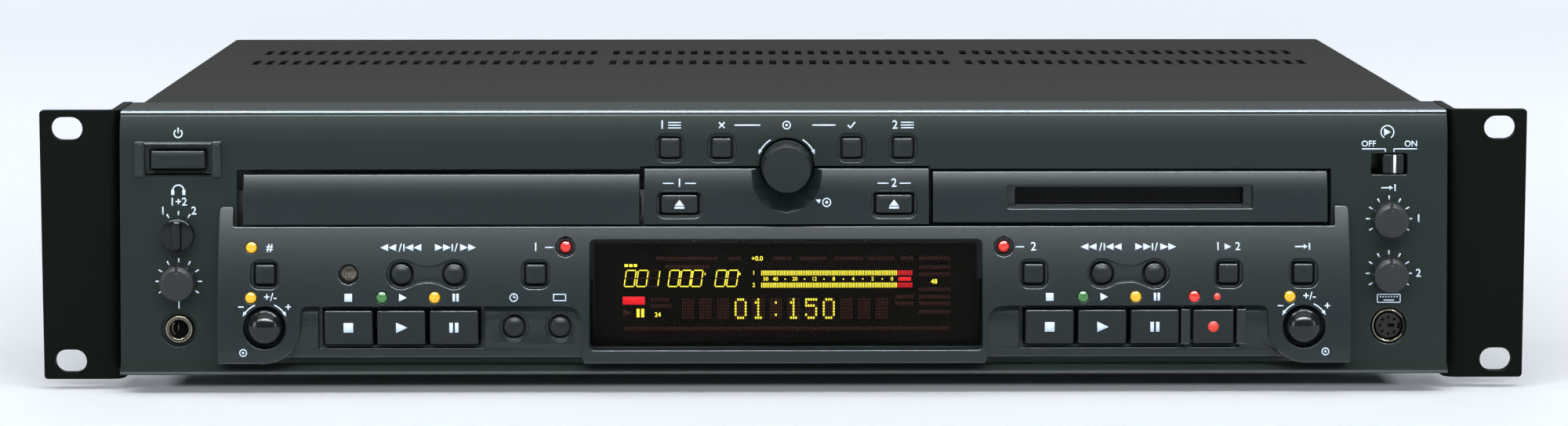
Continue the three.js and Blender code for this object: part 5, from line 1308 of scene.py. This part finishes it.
class DECK_OT_stage(DeckOperator):
    """Lay the floor, hang the soft lights and set the camera"""
    bl_idname = "deck.stage"
    bl_label = "Stage"

    def execute(self, context):
        self.floor(context, 6.0)
        deck, top_edge = (0, 0, 0.05), (0, -0.1, 0.09)
        for name, place, aim, size, power, gloss_only in (
                ("key", (0, -0.6, 1.7), deck, (2.8, 1.0), 8, False),
                ("front_card", (0, -1.6, 1.4), deck, (3.2, 0.22), 40, False),
                ("gloss_card", (0, -1.6, 1.45), deck, (1.5, 0.3), 24, True),
                ("edge_strip", (0, -0.2, 1.6), deck, (2.6, 0.16), 180, True),
                ("left_card", (-1.9, -1.3, 0.5), deck, (0.5, 0.8), 6, False),
                ("right_card", (1.9, -1.3, 0.5), deck, (0.5, 0.8), 3, False),
                ("back_strip", (0, 0.9, 1.0), top_edge, (2.6, 0.25), 6, False)):
            self.light(context, name, place, aim, size, power, gloss_only)
        knobs = ["turned_" + node for node in (*PITCH_KNOBS, *TURNING_KNOBS, "jog_knob")]
        self.spare("edge_strip", ["finished_top_cover", *knobs])
        self.sky(context)
        context.scene.view_settings.view_transform = "Standard"
        self.camera(context)
        return {"FINISHED"}

    def floor(self, context, reach):
        """One large square at the height of the table."""
        mesh = bpy.data.meshes.new("floor")
        corner = [(-reach, -reach, 0), (reach, -reach, 0), (reach, reach, 0), (-reach, reach, 0)]
        mesh.from_pydata(corner, [], [(0, 1, 2, 3)])
        mesh.materials.append(bpy.data.materials["studio floor"])
        floor = bpy.data.objects.new("floor", mesh)
        context.scene.collection.objects.link(floor)

    def sky(self, context):
        """Even, weak light from all around."""
        world = bpy.data.worlds.new("studio")
        world.use_nodes = True
        settle(world.node_tree.nodes["Background"], {"Color": (0.90, 0.94, 1, 1), "Strength": 0.24})
        context.scene.world = world

    def light(self, context, name, place, aim, size, power, gloss_only):
        """A rectangular lamp; one for gloss only is bluish and lights no matte surface."""
        lamp = bpy.data.lights.new(name, "AREA")
        lamp.shape = "RECTANGLE"
        lamp.size, lamp.size_y = size
        lamp.energy = power
        if gloss_only:
            lamp.color = (0.82, 0.94, 1)
        thing = bpy.data.objects.new(name, lamp)
        thing.location = place
        thing.rotation_euler = (Vector(aim) - Vector(place)).to_track_quat("-Z", "Y").to_euler()
        thing.visible_diffuse = not gloss_only
        context.scene.collection.objects.link(thing)

    def spare(self, name, pieces):
        """Keep a lamp's light off the pieces."""
        spared = bpy.data.collections.new(name + "_spares")
        bpy.data.objects[name].light_linking.receiver_collection = spared
        for piece in pieces:
            spared.objects.link(bpy.data.objects[piece])
        for held in spared.collection_objects:
            held.light_linking.link_state = "EXCLUDE"

    def camera(self, context):
        """Seen from where the lid's perspective says, with the ears' face at its own pixels."""
        picture_width, picture_height = 2000, 544
        pixels_per_mm, out, x, z = 3.9194, 1386.0, -13.4, 224.6
        face_x_pixel, face_y_pixel, face_z = 948, 311.9, 48.0
        drop = z - face_z
        focal_pixels = pixels_per_mm * math.hypot(drop, out)
        pitch = math.atan2(drop, out) - (face_y_pixel - picture_height / 2) / focal_pixels
        yaw = math.atan2((picture_width / 2 - face_x_pixel) / pixels_per_mm, out)
        data = bpy.data.cameras.new("camera")
        data.sensor_width = 36
        data.lens = data.sensor_width * focal_pixels / picture_width
        camera = bpy.data.objects.new("camera", data)
        camera.location = (x * MM, EAR_FACE - out * MM, z * MM)
        camera.rotation_euler = (math.pi / 2 - pitch, 0, -yaw)
        context.scene.collection.objects.link(camera)
        context.scene.camera = camera


class DECK_PT_panel(bpy.types.Panel):
    """Lists the deck's operators and settings"""
    bl_label = "Deck"
    bl_idname = "DECK_PT_panel"
    bl_space_type = "VIEW_3D"
    bl_region_type = "UI"
    bl_category = "Deck"

    def draw(self, context):
        for operator in OPERATORS:
            self.layout.operator(operator.bl_idname)
        for group in (context.scene.deck_sizes, context.scene.deck_colours):
            for name in group.__annotations__:
                self.layout.prop(group, name)


OPERATORS = (
    DECK_OT_finishes, DECK_OT_housing, DECK_OT_caps, DECK_OT_knobs, DECK_OT_lamps, DECK_OT_sockets,
    DECK_OT_fittings, DECK_OT_markings, DECK_OT_display, DECK_OT_screws, DECK_OT_stage,
)
CLASSES = (DeckColours, DeckSizes, *OPERATORS, DECK_PT_panel)


def register():
    for made in CLASSES:
        bpy.utils.register_class(made)
    bpy.types.Scene.deck_colours = PointerProperty(type=DeckColours)
    bpy.types.Scene.deck_sizes = PointerProperty(type=DeckSizes)


def unregister():
    del bpy.types.Scene.deck_sizes
    del bpy.types.Scene.deck_colours
    for made in reversed(CLASSES):
        bpy.utils.unregister_class(made)


def main():
    register()
    for operator in OPERATORS:
        group, name = operator.bl_idname.split(".")
        getattr(getattr(bpy.ops, group), name)()


if __name__ == "__main__":
    main()
